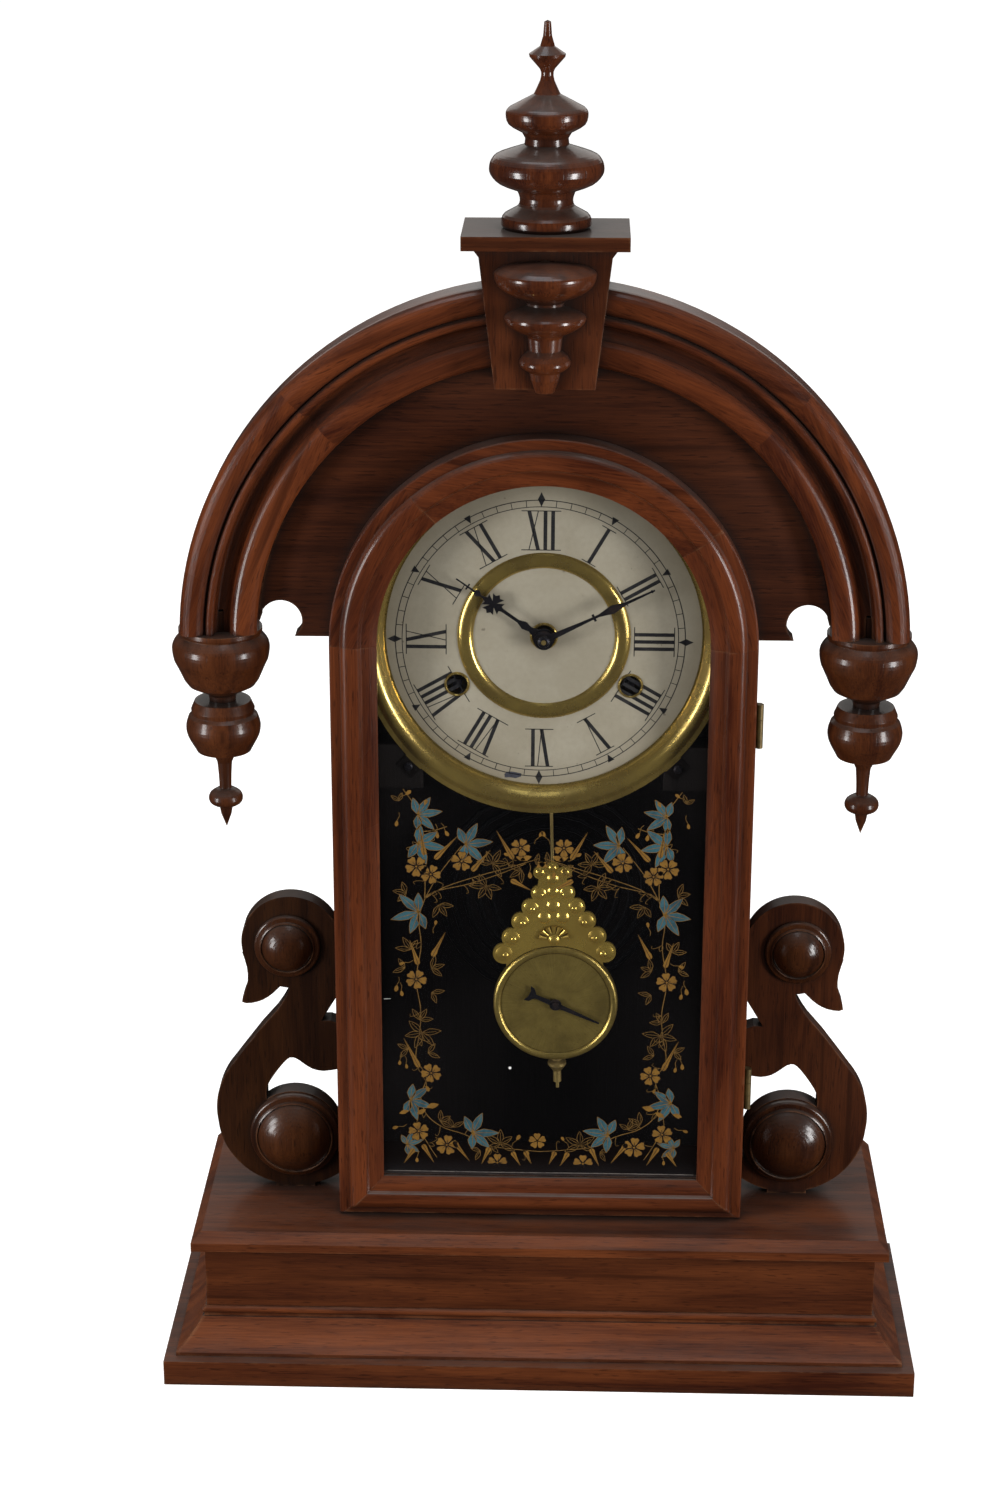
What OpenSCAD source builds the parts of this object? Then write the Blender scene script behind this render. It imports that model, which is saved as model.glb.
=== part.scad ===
// Shelf clock with an arched head, swan brackets and an eight-day time and strike movement.
// Millimetres, +Z up, front toward -Y. The origin is under the middle of the base.
// A depth is counted from the front edge of the base. A radius on the dial is from its centre.

/* [Base] */
// Width of the bottom board
base_w = 376; // [368:1:392]
// Depth of the bottom board, front to back
base_depth = 130; // [126:1:140]
// Thickness of the bottom board
board_t = 13.3; // [11:0.1:16]
// Height of the frieze box above the bottom board
frieze_h = 54.9; // [48:0.1:62]
// Thickness of the top board
top_t = 9.1; // [8:0.1:12]
// Setback of the top board from the edge of the bottom board
top_inset = 14; // [11:0.5:17]
// Setback of the frieze
frieze_inset = 20.3; // [20.3:0.1:23]
// Thickness of the frieze boards
frieze_t = 10; // [7:0.5:14]

/* [Case and head] */
// Width over the case sides
case_w = 196; // [194:0.5:197]
// Thickness of the case sides and top
side_t = 8; // [6.5:0.5:8.5]
// Depth of the case's front edge
case_front = 50; // [50:0.5:51]
// Height of the dial's centre above the top board
centre_up = 301.7; // [299:0.1:305]
// Outer radius of the head moulding
arch_r = 172; // [170:0.5:174]
// Inner radius of the head moulding
arch_in_r = 135.5; // [134:0.5:136.5]
// Spread of the pendants' axes
pendant_span = 308; // [304:1:311]
// Height of the keystone between its lower end and its cap
keystone_h = 63.7; // [61:0.1:66]

/* [Door and dial] */
// Width of the door
door_w = 202; // [201.6:0.1:202.4]
// Radius of the sight opening
sight_r = 78.5; // [78:0.1:79]
// Radius of the paper dial
paper_r = 75.3; // [74.6:0.1:75.4]
// Length of the minute hand from its centre
minute_len = 58; // [54:0.5:62]
// Length of the hour hand from its centre
hour_len = 50.8; // [48:0.1:53]
// Thickness of the glass
glass_t = 2; // [1.6:0.1:2.1]

/* [Pendulum and gong] */
// Height of the pendulum's hinge line above the dial's centre
hinge_up = 55; // [55:0.5:56]
// Length from the hinge line to the middle of the bob
pendulum_len = 248; // [242:1:254]
// Radius of the bob
bob_r = 31; // [30:0.5:32]
// Where the pendulum stands in its swing, to the right of the middle
swing_rest = 1.6; // [1.4:0.1:1.7]
// Outer radius of the coiled gong
gong_r = 58; // [54:0.5:60]
// Thickness of the gong wire
gong_wire = 3; // [2.4:0.1:3.4]

/* [Hidden] */
$fn = 72;
slip = 0.05;
seat_gap = 0.3;
glue = 0.05;
merge = 0.4;
board_top = board_t;
frieze_top = board_top + frieze_h;
deck = frieze_top + top_t;
cz = deck + centre_up;
half_base = base_w / 2;
half_case = case_w / 2;
half_door = door_w / 2;
inner_case = half_case - side_t;
back_t = 8;
back_setin = 4;
case_back_d = base_depth - back_setin;
back_face = case_back_d - back_t;

// Door section, as distances in from its outer edge and depths
door_face = case_front - 15.5;
door_back = case_front - 0.3;
stile_w = half_door - sight_r;
door_flat = 0.231 * stile_w;
door_rise = 0.151 * stile_w;
door_crest = 0.262 * stile_w;
sight_lip = door_face + 4.5;
glass_front = door_face + 6;
glass_back = glass_front + glass_t;
rebate = 3;
bead_t = 3;
door_foot_gap = 1.5;
door_bottom = deck + door_foot_gap;
sight_bottom = deck + 21.7;
arch_joint_right = 35;
arch_joint_left = 130;

// Head
lip_front = case_front + 6;
lip_back = lip_front + 6;
lip_w = 14;
lip_play = 0.4;
pendant_top = cz + 4.3;
head_bottom = cz + 1.3;
moulding_face = 37;
moulding_back = 60;
key_face = 27;
key_back = moulding_back + 6;
key_top = cz + arch_r + 18.2;
key_foot = key_top - keystone_h;
key_neck = key_top - 4;
key_foot_w = 22.8;
key_top_w = 29.9;
cap_w = 75.2;
cap_t = 6.4;
cap_front = 20;
cap_back = 70;
pendant_d = 55;
finial_d = 45;

// Dial
paper_d = 57.5;
plate_back = 58.1;
rim_crest_r = paper_r + 7.7;
rim_groove_r = paper_r + 10.3;
rim_r = paper_r + 12.9;
rim_d = 52;
rim_t = 0.5;
wind_x = 41.5;
wind_z = -24.5;
eye_r = 6.15;
eye_hole = 5;
ear_angle = 45;
ear_r = rim_r + 6.8;
ear_w = 10;
upper_ears = [ear_angle + 15, 165 - ear_angle];
ear_angles = concat(upper_ears, [-ear_angle, ear_angle - 180]);
screw_at_r = rim_r + 3.6;
screw_r = 0.9;
screw_head = 2.1;
screw_l = 7;

// Movement
front_plate = 70;
plate_t = 1.4;
back_plate = back_face - 12.6;
plate_foot = 46;
function layer(share) = front_plate + share * (back_plate - front_plate);
plate_half = 69;
plate_low = -66;
plate_high = 68;
pivot_r = 0.6;
pivot_slip = 0.04;
arbor_r = 1;
post_spots = [[-60, 56], [60, 56], [-66, 12], [66, 12], [-63, -60], [63, -60], [0, -52]];
t2_at = [5.8, -24.07];
t4_at = [13.4, 19.9];
escape_at = [0, 34.55];
minute_at = [-8.485, -8.485];
s2_at = [-24.1, 6.67];
s3_at = [-25.56, 23.41];
fly_at = [-18.56, 35.53];
hammer_at = [-53, 20];
time_at = [wind_x, wind_z];
strike_at = [-wind_x, wind_z];
great_m = 0.85;
second_m = 0.75;
centre_m = 0.6;
fourth_m = 0.45;
motion_m = 0.5;
hour_m = 12 / 22.5;

// Hinges
hinge_x = half_door + 2.2;
hinge_d = case_front - 1.5;
knuckle_r = 1.75;
hinge_pin_r = 0.8;
hinge_h = 22;
hinge_z = [cz - 41, cz - 233];

pivot_z = cz + hinge_up;
bob_z = pivot_z - pendulum_len;
rod_d = 62.8;
rod_r = 0.8;

function yy(d) = d - base_depth / 2;
function turn(a) = [cos(a), sin(a)];
function ends(p, i) = p[max(0, min(len(p) - 1, i))];
function hermite(a, b, c, d, t) =
    0.5 * (2 * b + (c - a) * t + (2 * a - 5 * b + 4 * c - d) * t * t + (3 * b - a - 3 * c + d) * t * t * t);
function soft(p, n) = [
    for (i = [0 : len(p) - 2]) for (k = [0 : n - 1])
        hermite(ends(p, i - 1), p[i], p[i + 1], ends(p, i + 2), k / n),
    p[len(p) - 1]
];
function back_to_front(p) = [for (i = [len(p) - 1 : -1 : 0]) p[i]];
function arc(c, r, a0, a1, n) = [for (i = [0 : n]) c + r * turn(a0 + (a1 - a0) * i / n)];

// A flat shape drawn in X and Z, standing between two depths
module slab(d0, d1) translate([0, yy(d1), 0]) rotate([90, 0, 0]) linear_extrude(d1 - d0) children();
module rod(x, z, r, d0, d1) translate([x, yy(d1), z]) rotate([90, 0, 0]) cylinder(r = r, h = d1 - d0);
module box(x0, x1, d0, d1, z0, z1) translate([x0, yy(d0), z0]) cube([x1 - x0, d1 - d0, z1 - z0]);
// A ring or disc turned about a front to back axis, from points of radius and depth
module ring(x, z, pts, a0 = 0, sweep = 360)
    translate([x, 0, z]) rotate([90, 0, 0]) rotate([0, 0, a0])
        rotate_extrude(angle = sweep) polygon([for (p = pts) [p[0], -yy(p[1])]]);
module spindle(pts) rotate_extrude() polygon(pts);

// Wheels. Local X and Z from the dial's centre; a gap stands at the angle given.
module teeth(n, m, gap_at) {
    step = 360 / n;
    r = n * m / 2;
    polygon([for (i = [0 : n - 1]) let (a = gap_at + step * (i + 0.5)) each [
        (r - 1.15 * m) * turn(a - 0.3 * step), (r + 0.8 * m) * turn(a - 0.1 * step),
        (r + 0.8 * m) * turn(a + 0.1 * step), (r - 1.15 * m) * turn(a + 0.3 * step)]]);
}
module wheel(at, n, m, d0, d1, gap_at, hub, bore, arms = 5) {
    rim_in = n * m / 2 - 3.2 * m - 0.6;
    slab(d0, d1) translate([at[0], cz + at[1]]) difference() {
        union() {
            difference() {
                teeth(n, m, gap_at);
                circle(r = rim_in);
            }
            circle(r = hub, $fn = 32);
            for (i = [0 : arms - 1]) rotate(360 / arms * i) translate([0, -0.9]) square([rim_in + 0.5, 1.8]);
        }
        if (bore > 0) circle(r = bore, $fn = 32);
    }
}
module lantern(at, n, m, d0, d1, toward) {
    r = n * m / 2;
    shroud = 0.7;
    for (d = [d0, d1 - shroud]) rod(at[0], cz + at[1], r + 0.5 * m + 0.35, d, d + shroud, $fn = 32);
    for (i = [0 : n - 1]) let (p = at + r * turn(toward + i * 360 / n))
        rod(p[0], cz + p[1], 0.45 * m, d0, d1, $fn = 16);
}
module arbor(at, d0 = front_plate + plate_t + seat_gap, d1 = back_plate - seat_gap) {
    rod(at[0], cz + at[1], arbor_r, d0, d1, $fn = 24);
    rod(at[0], cz + at[1], pivot_r, front_plate, back_plate + plate_t, $fn = 24);
}
function aim(a, b) = atan2(b[1] - a[1], b[0] - a[0]);

module walnut(shade = 0) color([0.33 - shade, 0.17 - shade * 0.6, 0.1 - shade * 0.4]) children();
module brass() color([0.78, 0.62, 0.28]) children();
module steel() color([0.45, 0.46, 0.5]) children();

// Base
module plinth_board() walnut() box(-half_base, half_base, 0, base_depth, 0, board_t);

cove_r = 44.4;
cove_foot = [5.75, board_top + 1.9];
cove_head = [18, board_top + 15.7];
cove_mid = (cove_foot + cove_head) / 2;
cove_chord = cove_head - cove_foot;
cove_off = sqrt(cove_r * cove_r - cove_chord * cove_chord / 4) / norm(cove_chord);
cove_centre = cove_mid + cove_off * [-cove_chord[1], cove_chord[0]];
module moulding_section() {
    bead_z = board_top + 19;
    difference() {
        polygon([[frieze_inset, board_top], [cove_foot[0], board_top], cove_foot, cove_head,
            [19, cove_head[1]], [19, bead_z + 2.6], [frieze_inset, bead_z + 2.6]]);
        translate(cove_centre) circle(r = cove_r, $fn = 120);
    }
    intersection() {
        translate([20.1, bead_z]) circle(r = 2, $fn = 32);
        translate([0, bead_z - 5]) square([frieze_inset, 10]);
    }
}
module moulding_front() intersection() {
    translate([-half_base, yy(0), 0]) rotate([90, 0, 90]) linear_extrude(base_w) moulding_section();
    linear_extrude(frieze_top) polygon([[-half_base, yy(0)], [half_base, yy(0)],
        [half_base - base_depth, yy(base_depth)], [-half_base + base_depth, yy(base_depth)]]);
}
module moulding_side() intersection() {
    translate([half_base, yy(base_depth), 0]) rotate([90, 0, 0]) mirror([1, 0, 0])
        linear_extrude(base_depth) moulding_section();
    linear_extrude(frieze_top) polygon([[half_base, yy(2 * glue)], [half_base, yy(base_depth)],
        [half_base - base_depth + 2 * glue, yy(base_depth)]]);
}
module plinth_moulding() walnut() {
    moulding_front();
    moulding_side();
    mirror([1, 0, 0]) moulding_side();
}
module plinth_frieze() walnut(0.04) {
    w = half_base - frieze_inset;
    box(-w, w, frieze_inset, frieze_inset + frieze_t, board_top, frieze_top);
    for (s = [0, 1]) mirror([s, 0, 0])
        box(w - frieze_t, w, frieze_inset + frieze_t + glue, base_depth, board_top, frieze_top);
    box(-w + frieze_t + glue, w - frieze_t - glue, base_depth - frieze_t, base_depth, board_top, frieze_top);
}
module plinth_top() walnut() {
    w = half_base - top_inset;
    chamfer = 5;
    half_t = top_t / 2;
    intersection() {
        translate([-w, 0, 0]) rotate([90, 0, 90]) linear_extrude(2 * w) polygon([
            [yy(top_inset), frieze_top], [yy(base_depth), frieze_top], [yy(base_depth), deck],
            [yy(top_inset + chamfer), deck], [yy(top_inset), frieze_top + half_t]]);
        slab(0, base_depth) polygon([[-w, frieze_top], [w, frieze_top], [w, frieze_top + half_t],
            [w - chamfer, deck], [-w + chamfer, deck], [-w, frieze_top + half_t]]);
    }
}

// Case
case_high = cz + 91;
leaf_t = 0.9;
module case_sides() walnut(0.05) for (s = [0, 1]) mirror([s, 0, 0]) difference() {
    box(inner_case, half_case, case_front, case_back_d, deck, case_high);
    box(inner_case - 1, half_case + 1, case_front - 1, lip_back, head_bottom, case_high + 1);
    if (s == 0) for (z = hinge_z)
        box(inner_case - 1, half_case + 1, case_front - 1, case_front + leaf_t + slip,
            z - hinge_h / 2 - slip, z + hinge_h / 2 + slip);
}
module case_top() walnut(0.05)
    box(-half_case, half_case, lip_back, case_back_d, case_high, case_high + side_t);
module case_back() walnut(0.08) box(-inner_case, inner_case, back_face, case_back_d, deck, case_high);
batten_in = inner_case - 20;
batten_out = inner_case - 7;
block_half = 11;
block_in = screw_at_r * cos(ear_angle) - 7;
block_z = cz - screw_at_r * sin(ear_angle);
module case_blocks() walnut(0.08) for (s = [0, 1]) mirror([s, 0, 0]) difference() {
    union() {
        box(batten_in, batten_out, back_plate + plate_t, back_face, cz - 70, cz + 70);
        box(block_in, inner_case, rim_d + rim_t, front_plate - 3, block_z - block_half, block_z + block_half);
    }
    slab(rim_d, front_plate) translate([0, cz]) circle(r = rim_r, $fn = 120);
    for (z = movement_screw_z) pilot(movement_screw_x, cz + z, back_plate);
    pilot(screw_at_r * cos(ear_angle), block_z, rim_d);
}
// The hole that a wood screw has cut
module pilot(x, z, d) rod(x, z, screw_r + slip, d, d + screw_l + 1, $fn = 20);

// Head
notch_r = 10;
notch_x = arch_in_r - 11.1;
notch_up = 9;
module head_panel() walnut(0.05) difference() {
    union() {
        slab(case_front, lip_front) difference() {
            translate([0, cz]) circle(r = arch_in_r - slip, $fn = 144);
            translate([-arch_r, cz - arch_r]) square([2 * arch_r, arch_r + head_bottom - cz]);
        }
        slab(lip_front, lip_back) difference() {
            translate([0, cz]) circle(r = arch_in_r + lip_w, $fn = 144);
            translate([-arch_r, cz - arch_r]) square([2 * arch_r, arch_r + head_bottom - cz]);
        }
    }
    slab(case_front - 1, lip_back + 1) {
        translate([0, cz]) circle(r = rim_r + 0.8, $fn = 120);
        for (s = [-1, 1]) translate([s * notch_x, cz + notch_up]) circle(r = notch_r, $fn = 48);
        for (s = [0, 1]) mirror([s, 0]) translate([notch_x, head_bottom - 1])
            square([50, cz + notch_up + 1 - head_bottom]);
    }
    for (a = upper_ears) {
        slab(case_front - 1, rim_d + rim_t) translate([0, cz]) rotate(a)
            translate([rim_r - 1, -ear_w / 2 - slip]) square([ear_r - rim_r + 1.3, ear_w + 2 * slip]);
        pilot(screw_at_r * cos(a), cz + screw_at_r * sin(a), rim_d);
    }
}
// The moulding's members are drawn in parts of its width, inward from its outer edge
part_w = (arch_r - arch_in_r) / 36.5;
lip_seat_r = arch_in_r + lip_w + lip_play;
function member(x, d) = [arch_r - x * part_w, moulding_face + d * part_w];
arch_section = concat(
    [[arch_in_r, lip_front], member(36.5, 6), member(35.3, 4.4)],
    soft([member(33.5, 3.6), member(29.5, 2.6), member(26, 3.4), member(24, 5.5)], 3),
    arc(member(20.3, 5.8), 3.7 * part_w, 180, 20, 8),
    arc(member(14.6, 3.6), 1.9 * part_w, 190, 350, 6),
    [member(12.2, 4.4)],
    arc(member(6.2, 6.2), 6.2 * part_w, 198, 360, 10),
    [[arch_r, moulding_back], [lip_seat_r, moulding_back], [lip_seat_r, lip_front]]);
module key_wedge(top) polygon([[-key_foot_w, key_foot], [key_foot_w, key_foot],
    [key_top_w, key_neck], [key_top_w, top], [-key_top_w, top], [-key_top_w, key_neck]]);
module arch_moulding() walnut(-0.04) for (s = [0, 1]) mirror([s, 0, 0]) difference() {
    ring(0, cz, arch_section, 0, 92);
    box(0, arch_r + 1, moulding_face - 1, moulding_back + 1, cz - 1, pendant_top);
    slab(moulding_face - 1, moulding_back + 1) key_wedge(key_top + 1);
    translate([0, yy(moulding_face - 1), cz]) mirror([1, 0, 0]) cube([arch_r, 30, arch_r + 1]);
    rod_up(pendant_span / 2, 49.5, dowel_r + slip, pendant_top - 1, pendant_top + dowel_l + 1);
}
dowel_r = 4;
dowel_l = 10;
module rod_up(x, d, r, z0, z1) translate([x, yy(d), z0]) cylinder(r = r, h = z1 - z0, $fn = 40);
pendant_line = concat([[0, 4.3], [20, 4.3], [20, 2.3]], soft([[19.5, 1], [19.6, 1], [22.4, -2.4],
    [23.3, -5.8], [22.6, -11], [21.1, -14.4], [17.9, -21.6]], 3), [[16, -24.3], [8.2, -28.4]],
    soft([[6.7, -29.7], [6.3, -32.5]], 2), [[13.5, -32.5], [15.3, -36.7], [15, -38.8]],
    soft([[16.6, -40.3], [17.9, -45], [17.2, -50], [14.2, -55.8]], 3), [[13.1, -57.9], [5.3, -60.4]],
    soft([[3.6, -64.2], [3.1, -70.9], [2.9, -77.7]], 2),
    soft([[4.6, -78.2], [7.4, -80.2], [8.3, -82.8], [7.2, -85.4], [3.2, -87.4]], 3),
    [[2.5, -91.3], [0, -98.1]]);
module pendant(s) translate([s * pendant_span / 2, yy(pendant_d), cz]) spindle(pendant_line);
module arch_pendants() walnut(-0.02) for (s = [-1, 1]) {
    pendant(s);
    rod_up(s * pendant_span / 2, 49.5, dowel_r, pendant_top - 1, pendant_top + dowel_l);
}
module keystone() walnut(-0.02) {
    flare = 3;
    slab(key_face, case_front) {
        key_wedge(key_top);
        polygon([[-key_top_w, key_neck], [key_top_w, key_neck],
            [key_top_w + flare, key_top], [-key_top_w - flare, key_top]]);
    }
    intersection() {
        slab(case_front - merge, key_back) key_wedge(key_top);
        box(-cap_w, cap_w, case_front - merge, key_back, cz + arch_in_r + lip_w + lip_play, key_top);
    }
    intersection() {
        slab(case_front - merge, lip_front) key_wedge(key_top);
        slab(case_front - merge, lip_front) difference() {
            translate([-half_case, cz + arch_in_r - 5]) square([case_w, key_top - cz - arch_in_r + 5]);
            translate([0, cz]) circle(r = arch_in_r, $fn = 144);
        }
        box(-cap_w, cap_w, case_front - merge, lip_front, key_foot, key_top);
    }
}
module keystone_cap() walnut() box(-cap_w / 2, cap_w / 2, cap_front, cap_back, key_top, key_top + cap_t);
drop_line = concat([[0, 59.8], [4.2, 58.5]], soft([[4.2, 59.3], [10, 58.9], [17, 57.9], [22, 55.4],
    [23, 53], [21.4, 48.6], [17.1, 45.3], [10.9, 42.5], [8.6, 41]], 3), soft([[8.4, 39.8], [14.7, 37.3],
    [18.3, 34.7], [17.4, 31.4], [13, 28.3], [9, 26.5], [7.9, 24.9]], 3), [[7.3, 19.3]],
    soft([[10, 17.2], [11.7, 14.1], [10.6, 11.4], [7.1, 9.2]], 3), [[6.5, 6], [4.3, 0], [0, 0]]);
module keystone_drop() walnut(-0.05) translate([0, yy(key_face), key_foot - 1]) rotate([0, 0, 180])
    rotate_extrude(angle = 180) polygon(drop_line);
finial_line = concat([[0, 0], [19.2, 0]], soft([[20.4, 1.6], [20.2, 4], [18.9, 6.3], [14, 9], [12.2, 10.9],
    [12.1, 13.7], [13.2, 16.6]], 2), soft([[13.2, 16.6], [21.3, 19.8], [25.2, 23.8], [25.7, 27.5],
    [24.4, 30.8], [21.3, 33.2], [10, 37]], 3), [[9.7, 39.8], [11.2, 42.3]],
    soft([[11.2, 42.3], [17.1, 45.8], [18.4, 50.3], [17.3, 52.8], [14.5, 54.5], [6, 59]], 3),
    soft([[6, 59], [3.2, 64.9], [2.8, 68.5], [3.8, 70.4]], 2), [[7.9, 75], [8.2, 76.4], [3.3, 79.7]],
    [[2, 84.1], [1.5, 90.2], [0, 90.9]]);
module top_finial() walnut(-0.03) translate([0, yy(finial_d), key_top + cap_t]) spindle(finial_line);

// Brackets, drawn for the right side out from the case side and up from the deck
bracket_front = 67;
bracket_t = 10;
head_boss = [29.2, 135];
foot_boss = [27.6, 30.7];
foot_r = 23.4;
neck_line = [[57.9, 70.1], [43.7, 89.4], [35.6, 99], [30.4, 107.5], [28.6, 113], [30, 115.4],
    [33.6, 112.4], [37.6, 108.4], [42.1, 105.2], [47.8, 103.3], [52.9, 103.8], [51.2, 110],
    [49.7, 115.6], [49.9, 123], [52, 131]];
arm_line = [[41.9, 52.7], [41.2, 57.2], [37.6, 63.5], [32.9, 69.9], [29.4, 73.1], [26, 72.5],
    [22.7, 70], [18.2, 67], [12.6, 65.8], [5.7, 66.9]];
module bracket_shape() intersection() {
    union() {
        translate([27.5, 136.7]) circle(r = 24.8);
        polygon(concat(soft(neck_line, 2), [[20, 150], [0, 144], [0, 116], [13.1, 93.9], [8.5, 94.1], [3, 92],
            [0, 89.5], [0, 67.6]], soft(back_to_front(arm_line), 2), [[52, 50]]));
        difference() {
            union() {
                translate([28, 39.7]) circle(r = 39);
                translate([26.5, 43.7]) circle(r = 41);
            }
            polygon(concat([[arm_line[0][0], 20]], soft(arm_line, 2), [[-1, 67.6], [-1, 20]]));
            translate([-30, 60]) square([60, 60]);
        }
        translate(foot_boss) circle(r = foot_r);
        translate([18, 0]) square([20, 8]);
    }
    square([90, 170]);
}
module bracket() slab(bracket_front, bracket_front + bracket_t) translate([half_case, deck]) bracket_shape();
module swan_bracket_left() walnut(0.06) mirror([1, 0, 0]) bracket();
module swan_bracket_right() walnut(0.06) bracket();
// Points of a domed cap of that radius and rise, from its edge to its middle
function cap(r, rise, d, n) = let (ball = (r * r + rise * rise) / (2 * rise), half = asin(r / ball))
    [for (i = [0 : n]) let (a = half * (1 - i / n)) [ball * sin(a), d - ball * (cos(a) - cos(half))]];
module boss(at, r, dome_r, rise, thick) {
    base = bracket_front - thick;
    step_d = base + thick * 0.4;
    ring(half_case + at[0], deck + at[1], concat([[0, bracket_front], [r, bracket_front], [r, step_d + 1.4]],
        arc([r - 1.4, step_d + 1.4], 1.4, 0, -90, 4), [[dome_r + 1.2, step_d - 0.4],
        [dome_r + 1, base + 0.6], [dome_r + 0.4, base + 0.2]], cap(dome_r, rise, base + 0.9, 10)));
}
module bracket_bosses() walnut(-0.03) for (s = [0, 1]) mirror([s, 0, 0]) {
    boss(head_boss, 16.6, 12.7, 6.5, 4);
    boss(foot_boss, 22.8, 18.7, 8.4, 7);
}

// Door, its section given as distance in from the edge and depth
door_section = concat([[0, door_back], [0, door_face + 3.9], [0.6, door_face + 3.4],
    [door_flat, door_face + 3.4], [door_flat + 0.6, door_face + 1.8]],
    soft([[door_flat + 1.4, door_face + 0.9], [door_flat + door_rise, door_face],
        [door_flat + door_rise + door_crest - 1, door_face + 0.2],
        [door_flat + door_rise + door_crest, door_face + 1.1]], 3),
    soft([[door_flat + door_rise + door_crest + 0.8, door_face + 1.9], [0.845 * stile_w, door_face + 3],
        [stile_w, sight_lip]], 3),
    [[stile_w, glass_front], [stile_w - rebate, glass_front], [stile_w - rebate, door_back]]);
module door_bar(x0, x1, z0, z1) intersection() {
    translate([0, 0, z0]) linear_extrude(z1 - z0)
        polygon([for (p = door_section) [half_door - p[0], yy(p[1])]]);
    box(x0, x1, 0, case_front, z0, z1);
}
module below_mitre() slab(0, case_front) polygon([[sight_r + 60, sight_bottom - 60],
    [sight_r - rebate, sight_bottom + rebate], [0, sight_bottom + rebate], [0, sight_bottom - 60]]);
module door_stiles() walnut() for (s = [0, 1]) mirror([s, 0, 0]) difference() {
    door_bar(0, half_door, door_bottom, cz);
    below_mitre();
    if (s == 0) for (z = hinge_z)
        box(half_door - leaf_t - slip, half_door + 1, hinge_d - 10 - slip, case_front,
            z - hinge_h / 2 - slip, z + hinge_h / 2 + slip);
}
module door_bottom_rail() walnut() intersection() {
    translate([-half_door, 0, sight_bottom - stile_w]) rotate([90, 0, 90]) linear_extrude(door_w)
        polygon([for (p = door_section) [yy(p[1]), p[0]]]);
    box(-half_door, half_door, 0, case_front, door_bottom, cz);
    slab(0, case_front) polygon([
        [-half_door, sight_bottom - stile_w], [-sight_r + rebate, sight_bottom + rebate],
        [sight_r - rebate, sight_bottom + rebate], [half_door, sight_bottom - stile_w]]);
}
module door_segment(a0, a1)
    ring(0, cz, [for (p = door_section) [half_door - p[0], p[1]]], a0, a1 - a0);
module door_arch() walnut(-0.01) {
    joint = 0.03;
    door_segment(0, arch_joint_right - joint);
    door_segment(arch_joint_right, arch_joint_left - joint);
    door_segment(arch_joint_left, 180);
}
module arched(r, z0) {
    intersection() {
        translate([0, cz]) circle(r = r, $fn = 120);
        translate([-r - 1, cz]) square([2 * r + 2, r + 1]);
    }
    translate([-r, z0]) square([2 * r, cz - z0]);
}
pane_r = sight_r + rebate - 0.3;
module door_glass() color([0.8, 0.88, 0.9, 0.35]) slab(glass_front, glass_back)
    arched(pane_r, sight_bottom - rebate + 0.3);
bead_back = glass_back + bead_t;
bead_r = sight_r + 0.8;
bead_base = sight_bottom - rebate + 0.3;
module glass_beads() walnut(0.06) {
    slab(glass_back, bead_back) intersection() {
        difference() {
            translate([0, cz]) circle(r = pane_r, $fn = 120);
            translate([0, cz]) circle(r = bead_r, $fn = 120);
        }
        translate([-pane_r, cz]) square([2 * pane_r, pane_r]);
    }
    for (s = [0, 1]) mirror([s, 0, 0]) box(bead_r, pane_r, glass_back, bead_back, bead_base, cz - glue);
    box(-bead_r + glue, bead_r - glue, glass_back, bead_back, bead_base, bead_base + rebate - 0.8);
}
module barrel(z, h, bore, r = knuckle_r) translate([hinge_x, yy(hinge_d), z - h / 2]) difference() {
    cylinder(r = r, h = h, $fn = 32);
    if (bore > 0) translate([0, 0, -1]) cylinder(r = bore, h = h + 2, $fn = 24);
}
knuckle_h = 7;
module door_hinge_leaves() brass() for (z = hinge_z) {
    box(half_door - leaf_t, half_door, hinge_d - 10, hinge_d + 0.5, z - hinge_h / 2, z + hinge_h / 2);
    barrel(z, knuckle_h - 0.4, hinge_pin_r + slip);
    difference() {
        box(half_door - merge, hinge_x, hinge_d - 0.9, hinge_d + 0.3,
            z - knuckle_h / 2 + 0.2, z + knuckle_h / 2 - 0.2);
        barrel(z, 2 * hinge_h, 0, knuckle_r - 0.3);
    }
}
leaf_w = 14;
leaf_edge = hinge_x + 0.8;
module case_hinge_leaves() brass() for (z = hinge_z) {
    difference() {
        box(min(inner_case, leaf_edge - leaf_w), leaf_edge, case_front + slip / 2, case_front + leaf_t,
            z - hinge_h / 2, z + hinge_h / 2);
        barrel(z, knuckle_h, 0, knuckle_r + 0.1);
    }
    for (s = [-1, 1]) barrel(z + s * (hinge_h + knuckle_h) / 4, (hinge_h - knuckle_h) / 2, 0);
    barrel(z, hinge_h - 2, 0, hinge_pin_r);
}
catch_z = cz - 148;
catch_w = 6.9;
module door_catch() brass() {
    seat = sight_r + rebate + 1;
    tongue = inner_case - 1.6;
    box(-max(seat + catch_w, tongue + 1), -min(seat, tongue), door_back, door_back + 1,
        catch_z - 7, catch_z + 7);
    box(-tongue - 1, -tongue, door_back, case_front + 8, catch_z - 5, catch_z + 5);
}

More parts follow.
